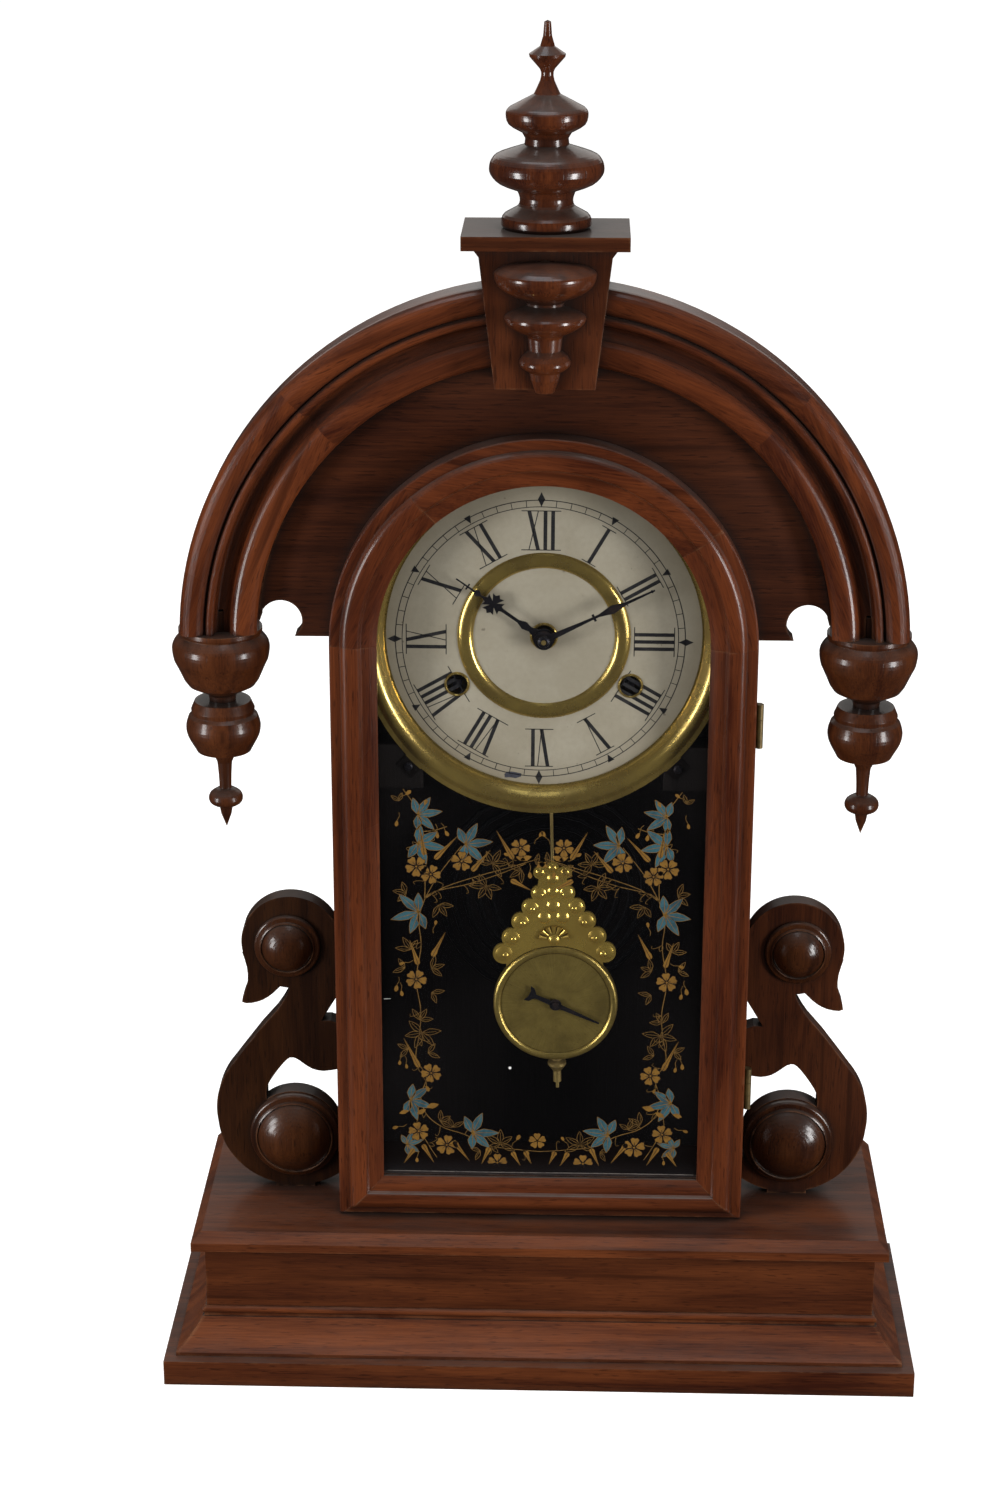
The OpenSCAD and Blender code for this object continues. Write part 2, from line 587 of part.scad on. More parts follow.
// Dial
module dial_rim() brass() {
    ring(0, cz, concat([[paper_r, paper_d - 0.5], [paper_r, paper_d], [paper_r + 1.9, paper_d]],
        [[paper_r + 2.1, rim_d + 3.6]], soft([[paper_r + 3.9, rim_d + 1.4], [paper_r + 5.7, rim_d - 0.2],
            [rim_crest_r, rim_d - 0.9], [paper_r + 9.3, rim_d - 0.1]], 3),
        [[rim_groove_r, rim_d + rim_t + 0.6], [rim_r, rim_d + rim_t], [rim_r, rim_d]],
        [[rim_groove_r + 0.4, rim_d]], soft([[paper_r + 9.6, rim_d - 0.6], [rim_crest_r, rim_d - 1.4],
            [paper_r + 5.5, rim_d - 0.7], [paper_r + 3.5, rim_d + 1], [paper_r + 1.7, rim_d + 3.3]], 3),
        [[paper_r + 0.9, paper_d - 0.5]]));
    for (a = ear_angles) slab(rim_d, rim_d + rim_t)
        translate([0, cz]) rotate(a) difference() {
            translate([rim_r - merge, -ear_w / 2]) square([ear_r - rim_r + merge, ear_w]);
            translate([screw_at_r, 0]) circle(r = screw_r + 0.1, $fn = 24);
        }
}
module hole_set() {
    for (s = [-1, 1]) translate([s * wind_x, wind_z]) circle(r = eye_hole + 0.4, $fn = 40);
    circle(r = 6, $fn = 40);
}
module dial_plate() color([0.86, 0.84, 0.78]) slab(paper_d, plate_back) translate([0, cz]) difference() {
    circle(r = paper_r + 1.7, $fn = 144);
    hole_set();
}
module dial_centre_ring() brass() ring(0, cz, concat([[33.7, paper_d]],
    arc([37.5, paper_d + 2.8], 4.72, 216.4, 323.6, 12), [[41.3, paper_d]]));
module eyelet(at, r, hole, tube) ring(at[0], cz + at[1], [[hole, plate_back + 0.4], [hole, paper_d - 0.5],
    [hole + 0.4, paper_d - 0.9], [r - 0.4, paper_d - 0.6], [r, paper_d], [tube, paper_d],
    [tube, plate_back + 0.4]]);
module dial_grommets() brass() {
    for (s = [-1, 1]) eyelet([s * wind_x, wind_z], eye_r, eye_hole, eye_hole + 0.35);
    eyelet([0, 0], 6.7, 5.5, 5.95);
}
module screw(x, z, d) {
    ring(x, z, [[0, d], [screw_head, d], [screw_head, d - 0.35], [1.4, d - 1], [0, d - 1.1]], $fn = 24);
    rod(x, z, screw_r, d - merge, d + screw_l, $fn = 20);
}
movement_screw_z = [-30, 40];
movement_screw_x = inner_case - 13.5;
module wood_screws() steel() {
    for (a = ear_angles)
        screw(screw_at_r * cos(a), cz + screw_at_r * sin(a), rim_d);
    for (s = [-1, 1]) for (z = movement_screw_z) screw(s * movement_screw_x, cz + z, back_plate);
}

// Hands, drawn pointing up and turned to the time shown
minute_angle = -64;
hour_angle = 54.8;
hand_d = 50.2;
hour_d = 53.2;
hand_t = 0.6;
module minute_hand() steel() difference() {
    union() {
        slab(hand_d, hand_d + hand_t) translate([0, cz]) rotate(minute_angle) {
            polygon([[-1.6, 2], [-1.3, 7], [-0.6, minute_len * 0.43], [-0.6, minute_len * 0.5],
                [-2.1, minute_len * 0.62], [-0.7, minute_len * 0.74], [-0.35, minute_len],
                [0.35, minute_len], [0.7, minute_len * 0.74], [2.1, minute_len * 0.62],
                [0.6, minute_len * 0.5], [0.6, minute_len * 0.43], [1.3, 7], [1.6, 2]]);
            translate([0, minute_len * 0.455]) for (a = [0, 90]) rotate(a) square([3.6, 1.1], center = true);
            translate([0, minute_len * 0.975]) rotate(45) square(1.3, center = true);
            circle(r = 4.6, $fn = 40);
        }
        rod(0, cz, 2.4, hand_d - 0.8, hand_d + 1.6, $fn = 32);
    }
    rod(0, cz, stud_r + slip, hand_d - 2, hand_d + 4, $fn = 32);
}
stud_r = 1.2;
hour_pipe = 3.25;
// Right edge of the hour hand, from its hub through the pierced cross to its tip
cross_up = hour_len * 0.58;
collar_up = hour_len * 0.76;
bar_up = hour_len * 0.87;
hour_edge = [[2.6, 4], [1.2, 8], [2, 11.5], [0.7, 15], [0.8, cross_up - 5.2], [1.3, cross_up - 4],
    [3.1, cross_up - 4.4], [1.1, cross_up - 1.1], [4.4, cross_up - 3.1], [4, cross_up - 1.3],
    [5.4, cross_up], [4, cross_up + 1.3], [4.4, cross_up + 3.1], [1.1, cross_up + 1.1],
    [3.1, cross_up + 4.4], [1.3, cross_up + 4], [0.6, cross_up + 5.2], [0.45, collar_up - 1.8],
    [1.8, collar_up], [0.4, collar_up + 1.8], [0.4, bar_up - 0.35], [1.6, bar_up - 0.35],
    [1.6, bar_up + 0.35], [0.35, bar_up + 0.35], [0.3, hour_len]];
module hour_hand() steel() slab(hour_d, hour_d + hand_t) translate([0, cz]) rotate(hour_angle) difference() {
    union() {
        circle(r = 5, $fn = 40);
        polygon(concat(hour_edge, [for (p = back_to_front(hour_edge)) [-p[0], p[1]]]));
    }
    circle(r = hour_pipe + slip / 2, $fn = 40);
}
module hand_nut() brass() ring(0, cz, [
    [stud_r + slip, hand_d - 0.8], [2.7, hand_d - 0.8], [3.1, hand_d - 1.4],
    [2.7, hand_d - 2.4], [1.9, hand_d - 2.8], [stud_r + slip, hand_d - 2.8]], $fn = 40);

// Movement
module plate_shape() translate([0, cz]) difference() {
    polygon([[-plate_half, plate_low], [-plate_foot, plate_low], [-plate_foot + 6, plate_low + 8],
        [plate_foot - 6, plate_low + 8], [plate_foot, plate_low], [plate_half, plate_low],
        [plate_half, 30], [plate_half - 6, plate_high - 6], [16, plate_high], [-16, plate_high],
        [-plate_half + 6, plate_high - 6], [-plate_half, 30]]);
    for (p = post_spots) translate(p) circle(r = 1.5 + pivot_slip, $fn = 24);
    for (p = [t2_at, t4_at, s2_at, s3_at, fly_at, hammer_at]) translate(p)
        circle(r = pivot_r + pivot_slip, $fn = 24);
}
jaw_front = 60.8;
jaw_back = 64.5;
verge_pin = 0.9;
module movement_plates() brass() {
    slab(front_plate, front_plate + plate_t) difference() {
        plate_shape();
        translate([0, cz]) circle(r = 2 + slip, $fn = 32);
        translate([escape_at[0], cz + escape_at[1]]) circle(r = arbor_r + slip, $fn = 24);
        for (p = [time_at, strike_at]) translate([p[0], cz + p[1]]) circle(r = wind_r + slip, $fn = 32);
    }
    slab(back_plate, back_plate + plate_t) difference() {
        union() {
            plate_shape();
            for (s = [-1, 1]) for (z = movement_screw_z)
                translate([s * (movement_screw_x - 3.5), cz + z]) square([18, 12], center = true);
        }
        translate([0, cz]) circle(r = pivot_r + pivot_slip, $fn = 24);
        translate([escape_at[0], cz + escape_at[1]]) circle(r = pivot_r + pivot_slip, $fn = 24);
        for (p = [time_at, strike_at]) translate([p[0], cz + p[1]]) circle(r = wind_pivot + slip, $fn = 32);
        for (s = [-1, 1]) for (z = movement_screw_z)
            translate([s * movement_screw_x, cz + z]) circle(r = screw_r + 0.1, $fn = 20);
    }
    rod(0, pivot_z, verge_pin, jaw_back + 0.3, front_plate + 0.5, $fn = 24);
    rod(minute_at[0], cz + minute_at[1], verge_pin, 64.4, front_plate + 0.5, $fn = 24);
    difference() {
        union() {
            box(-2.5, 2.5, jaw_front, jaw_back, pivot_z - 0.5, pivot_z + 9);
            box(-2.5, 2.5, jaw_front, front_plate + 0.5, pivot_z + 5, pivot_z + 9);
        }
        box(-0.55, 0.55, jaw_front - 1, jaw_back + 1, pivot_z - 1, pivot_z + 4.6);
    }
}
post_r = 2.2;
module plate_pillars() brass() for (p = post_spots) {
    face = front_plate + plate_t;
    ring(p[0], cz + p[1], [[0, face], [3, face], [3, face + 3], [post_r, face + 5], [post_r, back_plate - 5],
        [3, back_plate - 3], [3, back_plate], [0, back_plate]], $fn = 24);
    rod(p[0], cz + p[1], 1.5, front_plate - 1, back_plate + plate_t + 1, $fn = 20);
}
wind_r = 3;
wind_pivot = 1.5;
spring_front = layer(0.396);
spring_back = layer(0.876);
spring_in = 6;
spring_out = 23.5;
spring_turns = 6;
spring_strip = 0.9;
module spiral_strip(r0, r1, turns, t, a0) {
    steps = turns * 20;
    polygon(concat([for (i = [0 : steps]) (r0 + (r1 - r0) * i / steps) * turn(a0 + turns * 360 * i / steps)],
        [for (i = [steps : -1 : 0]) (r0 + t + (r1 - r0) * i / steps) * turn(a0 + turns * 360 * i / steps)]));
}
module mainspring(at, post) {
    a = aim(at, post);
    gap = norm(post - at);
    slab(spring_front, spring_back) translate([at[0], cz + at[1]]) {
        spiral_strip(spring_in, spring_out, spring_turns, spring_strip, a);
        rotate(a) translate([spring_out, -0.45]) square([gap - spring_out - post_r - seat_gap, spring_strip]);
    }
}
module mainsprings() steel() {
    mainspring(time_at, post_spots[5]);
    mainspring(strike_at, post_spots[4]);
}
great_d = layer(0.158);
great_t = 1.6;
ratchet_n = 24;
ratchet_r = 11;
module click(at) {
    slab(great_d + great_t - merge, great_d + great_t + 1.8) translate([at[0], cz + at[1]])
        polygon([[ratchet_r + 0.35, -0.3], [ratchet_r + 2.2, 6], [ratchet_r + 4.8, 6],
            [ratchet_r + 3, -0.6]]);
}
module great_wheel(at, toward) {
    wheel(at, 72, great_m, great_d, great_d + great_t, toward, 14, wind_r + slip, 6);
    click(at);
}
module winding_arbor(at) {
    rod(at[0], cz + at[1], wind_r, front_plate - 0.6, back_plate - seat_gap, $fn = 40);
    rod(at[0], cz + at[1], wind_pivot, back_plate - 1, back_plate + plate_t, $fn = 24);
    slab(58.9, front_plate - 0.4) translate([at[0], cz + at[1]]) square(4.1, center = true);
    slab(great_d + great_t + 0.4, great_d + great_t + 1.6) translate([at[0], cz + at[1]])
        polygon([for (i = [0 : ratchet_n - 1]) let (a = i * 360 / ratchet_n)
            each [ratchet_r * turn(a), (ratchet_r - 1.6) * turn(a + 2)]]);
}
module time_great_wheel() brass() great_wheel(time_at, aim(time_at, t2_at));
module time_winding_arbor() steel() winding_arbor(time_at);
layer_two = layer(0.288);
module time_second_wheel() brass() {
    arbor(t2_at);
    lantern(t2_at, 12, great_m, great_d - 0.9, great_d + great_t + 0.9, aim(t2_at, time_at));
    wheel(t2_at, 48, second_m, layer_two, layer_two + 1.2, aim(t2_at, [0, 0]), 4, 0, 5);
}
layer_centre = layer(0.91);
module centre_wheel() brass() {
    rod(0, cz, 2, hand_d + 2.4, layer_two + 2.8, $fn = 32);
    rod(0, cz, stud_r, hand_d - 3, hand_d + 3, $fn = 32);
    rod(0, cz, 1.4, layer_two + 2, back_plate - seat_gap, $fn = 24);
    rod(0, cz, pivot_r, back_plate - 1, back_plate + plate_t, $fn = 20);
    lantern([0, 0], 18, second_m, layer_two - 0.9, layer_two + 2.1, aim([0, 0], t2_at));
    wheel([0, 0], 72, centre_m, layer_centre, layer_centre + 1.2, aim([0, 0], t4_at), 4, 0, 5);
    slab(67.6, 69.4) translate([0, cz]) difference() {
        teeth(12, motion_m, aim([0, 0], minute_at) + 15);
        circle(r = 1.5, $fn = 20);
    }
}
layer_four = layer(0.678);
module fourth_wheel() brass() {
    arbor(t4_at);
    lantern(t4_at, 8, centre_m, layer_centre - 0.9, layer_centre + 2.1, aim(t4_at, [0, 0]));
    wheel(t4_at, 80, fourth_m, layer_four, layer_four + 1.2, aim(t4_at, escape_at), 3, 0, 5);
}
escape_r = 17;
escape_n = 40;
escape_d = 66;
module escape_wheel() brass() {
    rod(escape_at[0], cz + escape_at[1], arbor_r, escape_d, back_plate - seat_gap, $fn = 24);
    rod(escape_at[0], cz + escape_at[1], pivot_r, back_plate - 1, back_plate + plate_t, $fn = 20);
    lantern(escape_at, 8, fourth_m, layer_four - 0.9, layer_four + 2.1, aim(escape_at, t4_at));
    slab(escape_d, escape_d + 1) translate([escape_at[0], cz + escape_at[1]]) difference() {
        polygon([for (i = [0 : escape_n - 1]) let (a = 90 + escape_phase + i * 360 / escape_n) each
            [(escape_r - 2.4) * turn(a - 4.6), escape_r * turn(a), (escape_r - 2.4) * turn(a + 1.2)]]);
        for (a = [45 : 90 : 315]) rotate(a) translate([8.2, 0]) circle(r = 4.4, $fn = 32);
    }
}
escape_phase = 2.25;
module swing(a) translate([0, 0, pivot_z]) rotate([0, a, 0]) translate([0, 0, -pivot_z]) children();
pallet_half = 33.75;
pallet_clear = 0.5;
module verge_and_crutch() steel() swing(-swing_rest) {
    drop = hinge_up - escape_at[1];
    tip = escape_r + pallet_clear;
    px = tip * sin(pallet_half);
    pz = pivot_z - drop + tip * cos(pallet_half);
    difference() {
        union() {
            rod(0, pivot_z, 2, 65.1, front_plate - 1, $fn = 32);
            slab(65.6, 67.4) for (s = [-1, 1]) polygon([[s * 1.2, pivot_z + 1.6], [s * 1.2, pivot_z + 0.6],
                [s * (px + 0.5), pz + 2.4], [s * (px - 0.25), pz + 0.1], [s * (px + 0.25), pz],
                [s * (px + 1.6), pz + 3.2]]);
        }
        rod(0, pivot_z, verge_pin + slip, 60, front_plate + 1, $fn = 24);
    }
    fork_z = pivot_z - 30;
    difference() {
        translate([0, yy(65), fork_z]) cylinder(r = 0.55, h = 30, $fn = 16);
        rod(0, pivot_z, verge_pin + slip, 60, front_plate + 1, $fn = 24);
    }
    box(-2, 2, 64.5, 65.5, fork_z - 0.5, fork_z + 0.5);
    for (s = [-1, 1]) rod(s * 1.55, fork_z, 0.4, 61.4, 65, $fn = 16);
}
module minute_wheel() brass() difference() {
    union() {
        wheel(minute_at, 36, motion_m, 68, 69, aim(minute_at, [0, 0]), 3, 0, 4);
        slab(64.9, 69) translate([minute_at[0], cz + minute_at[1]])
            teeth(9, hour_m, aim(minute_at, [0, 0]) + 20);
    }
    rod(minute_at[0], cz + minute_at[1], verge_pin + slip, 64, 70, $fn = 24);
}
module hour_wheel() brass() difference() {
    union() {
        wheel([0, 0], 36, hour_m, 65.1, 66.1, aim([0, 0], minute_at), 4.4, 0, 4);
        rod(0, cz, hour_pipe, hour_d - 0.3, 66.1, $fn = 40);
    }
    rod(0, cz, 2 + slip, hour_d - 2, 70, $fn = 32);
}
count_d = layer(0.074);
blows = 90;
module count_notch(h) {
    a = 360 / blows * ((h * h + 3 * h) / 2);
    rotate(a) translate([20.6, -0.7]) square([4, 1.4]);
}
module strike_great_wheel() brass() {
    great_wheel(strike_at, aim(strike_at, s2_at));
    difference() {
        union() {
            rod(strike_at[0], cz + strike_at[1], 5, count_d, great_d + 0.5, $fn = 32);
            slab(count_d, count_d + 1) translate([strike_at[0], cz + strike_at[1]]) difference() {
                circle(r = 23, $fn = 96);
                for (h = [1 : 12]) count_notch(h);
            }
        }
        rod(strike_at[0], cz + strike_at[1], wind_r + slip, count_d - 1, great_d + 3, $fn = 40);
    }
}
module strike_winding_arbor() steel() winding_arbor(strike_at);
pin_circle = 12.8;
module strike_second_wheel() brass() {
    arbor(s2_at);
    lantern(s2_at, 12, great_m, great_d - 0.9, great_d + great_t + 0.9, aim(s2_at, strike_at));
    wheel(s2_at, 48, centre_m, layer_two, layer_two + 1.2, aim(s2_at, s3_at), 3, 0, 5);
    for (i = [0 : 12]) let (p = s2_at + pin_circle * turn(i * 360 / 13))
        rod(p[0], cz + p[1], 0.5, layer_two + 0.5, layer_two + 3.2, $fn = 16);
}
layer_three = layer(0.565);
module strike_third_wheel() brass() {
    arbor(s3_at);
    lantern(s3_at, 8, centre_m, layer_two - 0.9, layer_two + 2.1, aim(s3_at, s2_at));
    wheel(s3_at, 48, motion_m, layer_three, layer_three + 1.2, aim(s3_at, fly_at), 3, 0, 5);
}
module strike_fly() brass() {
    arbor(fly_at);
    lantern(fly_at, 8, motion_m, layer_three - 0.9, layer_three + 2.1, aim(fly_at, s3_at));
    rod(fly_at[0], cz + fly_at[1], 1.6, layer(0.367), layer(0.525), $fn = 24);
    box(fly_at[0] - 9, fly_at[0] + 9, layer(0.379), layer(0.514), cz + fly_at[1] - 0.3, cz + fly_at[1] + 0.3);
}

// Gong, one wire wound outwards from the middle of its iron block
gong_z = cz - 150.9;
gong_x = 4;
gong_d = back_face - 14;
gong_turns = 5;
gong_pitch = 6.5;
gong_in = gong_r - gong_turns * gong_pitch;
gong_loop = 24;
gong_start = 250;
gong_sides = 6;
function gong_point(k) = let (a = gong_start + 360 * k / gong_loop, r = gong_in + gong_pitch * k / gong_loop)
    [gong_x + r * cos(a), yy(gong_d), gong_z + r * sin(a)];
gong_steps = gong_turns * gong_loop;
lead_in = [for (k = [0 : 3]) let (f = k / 4)
    [gong_x + gong_in * f * cos(gong_start), yy(gong_d), gong_z + gong_in * f * sin(gong_start)]];
gong_path = concat(lead_in, [for (k = [0 : gong_steps]) gong_point(k)]);
function unit(v) = v / norm(v);
function tube_ring(p, i, r, n) = let (
    t = unit(ends(p, i + 1) - ends(p, i - 1)),
    side = unit(cross([0, 1, 0], t)))
    [for (j = [0 : n - 1]) p[i] + r * (cos(j * 360 / n) * side + sin(j * 360 / n) * [0, 1, 0])];
module tube(p, r, n) polyhedron(
    points = [for (i = [0 : len(p) - 1]) each tube_ring(p, i, r, n)],
    faces = concat([[for (j = [n - 1 : -1 : 0]) j]], [[for (j = [0 : n - 1]) (len(p) - 1) * n + j]],
        [for (i = [0 : len(p) - 2]) for (j = [0 : n - 1]) let (k = (j + 1) % n)
            each [[i * n + j, i * n + k, (i + 1) * n + j], [i * n + k, (i + 1) * n + k, (i + 1) * n + j]]]));
near_skip = gong_loop / 2;
gong_gap = min([for (i = [4 : len(gong_path) - 1]) for (j = [i + near_skip : len(gong_path) - 1])
    norm(gong_path[i] - gong_path[j])]) - gong_wire;
echo(gong_least_gap = gong_gap);
module gong_coil() steel() tube(gong_path, gong_wire / 2, gong_sides);
module gong_block() color([0.2, 0.2, 0.21]) difference() {
    ring(gong_x, gong_z, [[0, back_face], [16, back_face], [16, back_face - 3], [10, back_face - 5],
            [8, gong_d + 3], [7, gong_d - 4], [5, gong_d - 5], [0, gong_d - 5]]);
    translate([gong_x, yy(gong_d), gong_z]) rotate([0, 90 - gong_start, 0])
        translate([0, 0, -gong_wire]) cylinder(r = gong_wire / 2 + slip, h = 40, $fn = 24);
}
hammer_d = back_face - 7;
module hammer() steel() {
    strike_a = 127;
    top = [hammer_at[0], cz + hammer_at[1]];
    tail = s2_at + (pin_circle + 1.2) * unit(hammer_at - s2_at);
    foot = [gong_x, gong_z] + (gong_r + gong_wire / 2 + 1.2) * turn(strike_a);
    head = foot + 9 * turn(strike_a);
    rod(top[0], top[1], arbor_r, front_plate + plate_t + seat_gap, back_plate - seat_gap, $fn = 24);
    rod(top[0], top[1], pivot_r, front_plate, hammer_d, $fn = 24);
    slab(layer_two + 1.8, layer_two + 2.8) polygon([top + [0, -1.4], [tail[0], cz + tail[1] - 0.3],
        [tail[0], cz + tail[1] + 0.3], top + [0, 1.4]]);
    rod(top[0], top[1], 2.2, hammer_d - 1.4, hammer_d + 1.4, $fn = 24);
    translate([top[0], yy(hammer_d), top[1]]) rotate([0, 90 - aim(top, head), 0])
        cylinder(r = 0.9, h = norm(head - top), $fn = 20);
    rod(head[0], head[1], 1.3, gong_d - 1, hammer_d + 1.3, $fn = 20);
    translate([foot[0], yy(gong_d), foot[1]]) rotate([0, 90 - strike_a, 0]) {
        cylinder(r = 2.4, h = 3, $fn = 24);
        translate([0, 0, 2]) cylinder(r = 4.6, h = 12, $fn = 32);
    }
}

// Pendulum
loop_r = 7 + rod_r;
loop_half = 5;
strip_half = 0.15;
strip_foot = pivot_z - 22;
module suspension_spring() steel() swing(-swing_rest)
    box(-strip_half, strip_half, jaw_front + 0.5, jaw_back - 0.2, strip_foot, pivot_z + 3.4);
module pendulum_rod() brass() swing(-swing_rest) {
    difference() {
        union() {
            bar(strip_foot - 1, cz + loop_half + loop_r);
            box(-0.9, 0.9, jaw_front + 0.4, jaw_back - 0.1, strip_foot - 2, strip_foot + 2.5);
        }
        box(-strip_half - slip, strip_half + slip, jaw_front, jaw_back, strip_foot, strip_foot + 4);
    }
    bar(cz - loop_half - loop_r, bob_z - 48);
    for (s = [-1, 1]) translate([s * loop_r, yy(rod_d), cz - loop_half])
        cylinder(r = rod_r, h = 2 * loop_half, $fn = 24);
    for (s = [0, 180]) translate([0, yy(rod_d), cz + (s == 0 ? loop_half : -loop_half)]) rotate([90, 0, 0])
        rotate([0, 0, s]) rotate_extrude(angle = 180) translate([loop_r, 0]) circle(r = rod_r, $fn = 20);
}
module bar(z1, z0) translate([0, yy(rod_d), min(z0, z1)]) cylinder(r = rod_r, h = abs(z1 - z0), $fn = 24);
module pendulum_bob() brass() swing(-swing_rest) difference() {
    ring(0, bob_z, concat([
        [0, rod_d + 4.2], [bob_r - 6, rod_d + 3.4], [bob_r - 0.6, rod_d + 0.8], [bob_r, rod_d - 0.4]],
        arc([bob_r - 1.9, rod_d - 3], 1.9, 0, -180, 8), [[bob_r - 3.9, rod_d - 3.6]],
        [[0, rod_d - 3.6]]));
    translate([0, yy(rod_d), bob_z - 40]) cylinder(r = rod_r + slip, h = 80, $fn = 24);
    rod(0, bob_z, 1 + slip, rod_d - 5, rod_d - 1.2, $fn = 20);
}
// Pressed ornament over the bob: scrolled lobes up each side, berries, a crown and a fan of flutes
pediment_d = rod_d - 3.4;
lobes = [[25, 27.5, 5], [20.8, 36, 4.6], [16, 44.5, 4.4], [11, 52, 4.2], [6.6, 59.5, 3.8], [6.2, 70.5, 2.8]];
berries = [[4.6, 46.5, 3.4], [0, 52.5, 3.5], [0, 60.4, 3], [0, 67.1, 3.1], [0, 73, 2.3]];
fan_foot = bob_r + 3.6;
fan_boss = 3;
fan_r = 7.6;
knob_sunk = 0.15;
module knob(x, z, r, rise) ring(x, bob_z + z, concat([[0, pediment_d + merge], [r, pediment_d + merge]],
    cap(r, rise, pediment_d + knob_sunk, 6)), $fn = 32);
module bob_pediment() brass() swing(-swing_rest) {
    slab(pediment_d, pediment_d + 1.6) translate([0, bob_z]) difference() {
        union() {
            polygon([[-24, 17], [-24, 30], [-17, 46], [-8, 60], [-6, 73],
                [6, 73], [8, 60], [17, 46], [24, 30], [24, 17]]);
            for (p = lobes) for (s = [-1, 1]) translate([s * p[0], p[1]]) circle(r = p[2] + 0.5, $fn = 32);
            translate([0, 73]) circle(r = 3.2, $fn = 32);
        }
        circle(r = bob_r + seat_gap, $fn = 96);
    }
    for (p = lobes) for (s = [-1, 1]) {
        knob(s * p[0], p[1], p[2] - 0.4, 1.1);
        knob(s * (p[0] - 0.8), p[1] - 0.6, p[2] * 0.4, 1.9);
    }
    for (p = berries) for (s = p[0] > 0 ? [-1, 1] : [1]) knob(s * p[0], p[1], p[2], 1.3);
    knob(0, fan_foot, fan_boss, 1.5);
    for (a = [-75 : 25 : 75]) translate([0, yy(pediment_d), bob_z + fan_foot]) rotate([0, a, 0])
        translate([0, 0, fan_boss + 0.8]) cylinder(r1 = 0.7, r2 = 1.5, h = fan_r - fan_boss - 0.8, $fn = 24);
}
module bob_pointer() steel() swing(-swing_rest) {
    pointer_d = rod_d - 5.4;
    slab(pointer_d, pointer_d + 0.5) translate([0, bob_z]) rotate(-26) {
        polygon([[-11, -1], [-13, -3.6], [-15.4, -4.2], [-14.2, -1.6], [-14.2, 1.6], [-15.4, 4.2], [-13, 3.6],
            [-11, 1], [0, 1.3], [24, 0.4], [24, -0.4], [0, -1.3]]);
        circle(r = 3, $fn = 32);
    }
    rod(0, bob_z, 1.8, pointer_d - 0.8, pointer_d + 0.2, $fn = 24);
    rod(0, bob_z, 1, pointer_d, rod_d - 1.4, $fn = 20);
}
module rating_nut() brass() swing(-swing_rest) difference() {
    translate([0, yy(rod_d), bob_z - 44.5]) spindle([[rod_r + slip, 0], [2, 0], [2, 6], [3.2, 7.5],
        [4.6, 9.5], [4.6, 11], [2.6, 12.2], [2.6, 13.2], [rod_r + slip, 13.2]]);
}

plinth_board();
plinth_moulding();
plinth_frieze();
plinth_top();
case_sides();
case_top();
case_back();
case_blocks();
head_panel();
arch_moulding();
arch_pendants();
keystone();
keystone_cap();
keystone_drop();
top_finial();
swan_bracket_left();
swan_bracket_right();
bracket_bosses();
door_stiles();
door_bottom_rail();
door_arch();
door_glass();
glass_beads();
door_hinge_leaves();
case_hinge_leaves();
door_catch();
dial_rim();
dial_plate();
dial_centre_ring();
dial_grommets();
wood_screws();
minute_hand();
hour_hand();
hour_wheel();
hand_nut();
suspension_spring();
pendulum_rod();
pendulum_bob();
bob_pediment();
bob_pointer();
rating_nut();
movement_plates();
plate_pillars();
mainsprings();
time_great_wheel();
time_winding_arbor();
time_second_wheel();
centre_wheel();
fourth_wheel();
escape_wheel();
verge_and_crutch();
minute_wheel();
strike_great_wheel();
strike_winding_arbor();
strike_second_wheel();
strike_third_wheel();
strike_fly();
hammer();
gong_coil();
gong_block();
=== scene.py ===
"""Looks of an arched shelf clock: wood, brass, dial printing, painted glass, light and camera.

Metres, +Z up, front toward -Y. Drawn sizes are in millimetres. A depth is counted from the front edge of
the base.
"""
import math
import random

import bpy
from mathutils import Matrix, Vector


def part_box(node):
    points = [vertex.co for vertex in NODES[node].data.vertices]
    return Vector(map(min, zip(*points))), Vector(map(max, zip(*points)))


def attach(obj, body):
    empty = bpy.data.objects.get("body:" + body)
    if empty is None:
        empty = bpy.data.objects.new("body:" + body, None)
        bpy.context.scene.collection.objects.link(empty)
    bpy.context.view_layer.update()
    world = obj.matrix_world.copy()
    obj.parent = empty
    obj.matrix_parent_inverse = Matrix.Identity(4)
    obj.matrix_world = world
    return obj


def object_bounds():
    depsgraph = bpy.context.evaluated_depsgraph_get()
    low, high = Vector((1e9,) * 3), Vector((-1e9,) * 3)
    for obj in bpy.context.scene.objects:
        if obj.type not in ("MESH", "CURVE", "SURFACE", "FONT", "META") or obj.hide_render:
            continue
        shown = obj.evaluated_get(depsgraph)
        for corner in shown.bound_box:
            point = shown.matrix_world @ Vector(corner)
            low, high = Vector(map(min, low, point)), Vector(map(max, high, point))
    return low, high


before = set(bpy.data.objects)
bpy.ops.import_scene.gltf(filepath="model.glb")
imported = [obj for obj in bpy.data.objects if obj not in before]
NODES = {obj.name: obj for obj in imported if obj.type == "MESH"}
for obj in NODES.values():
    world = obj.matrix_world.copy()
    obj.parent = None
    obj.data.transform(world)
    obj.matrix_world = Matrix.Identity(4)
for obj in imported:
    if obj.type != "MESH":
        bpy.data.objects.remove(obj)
cad_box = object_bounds()

MM = 0.001


def node_box(name):
    """Lowest and highest corners of a CAD node, in millimetres."""
    low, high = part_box(name)
    return low / MM, high / MM


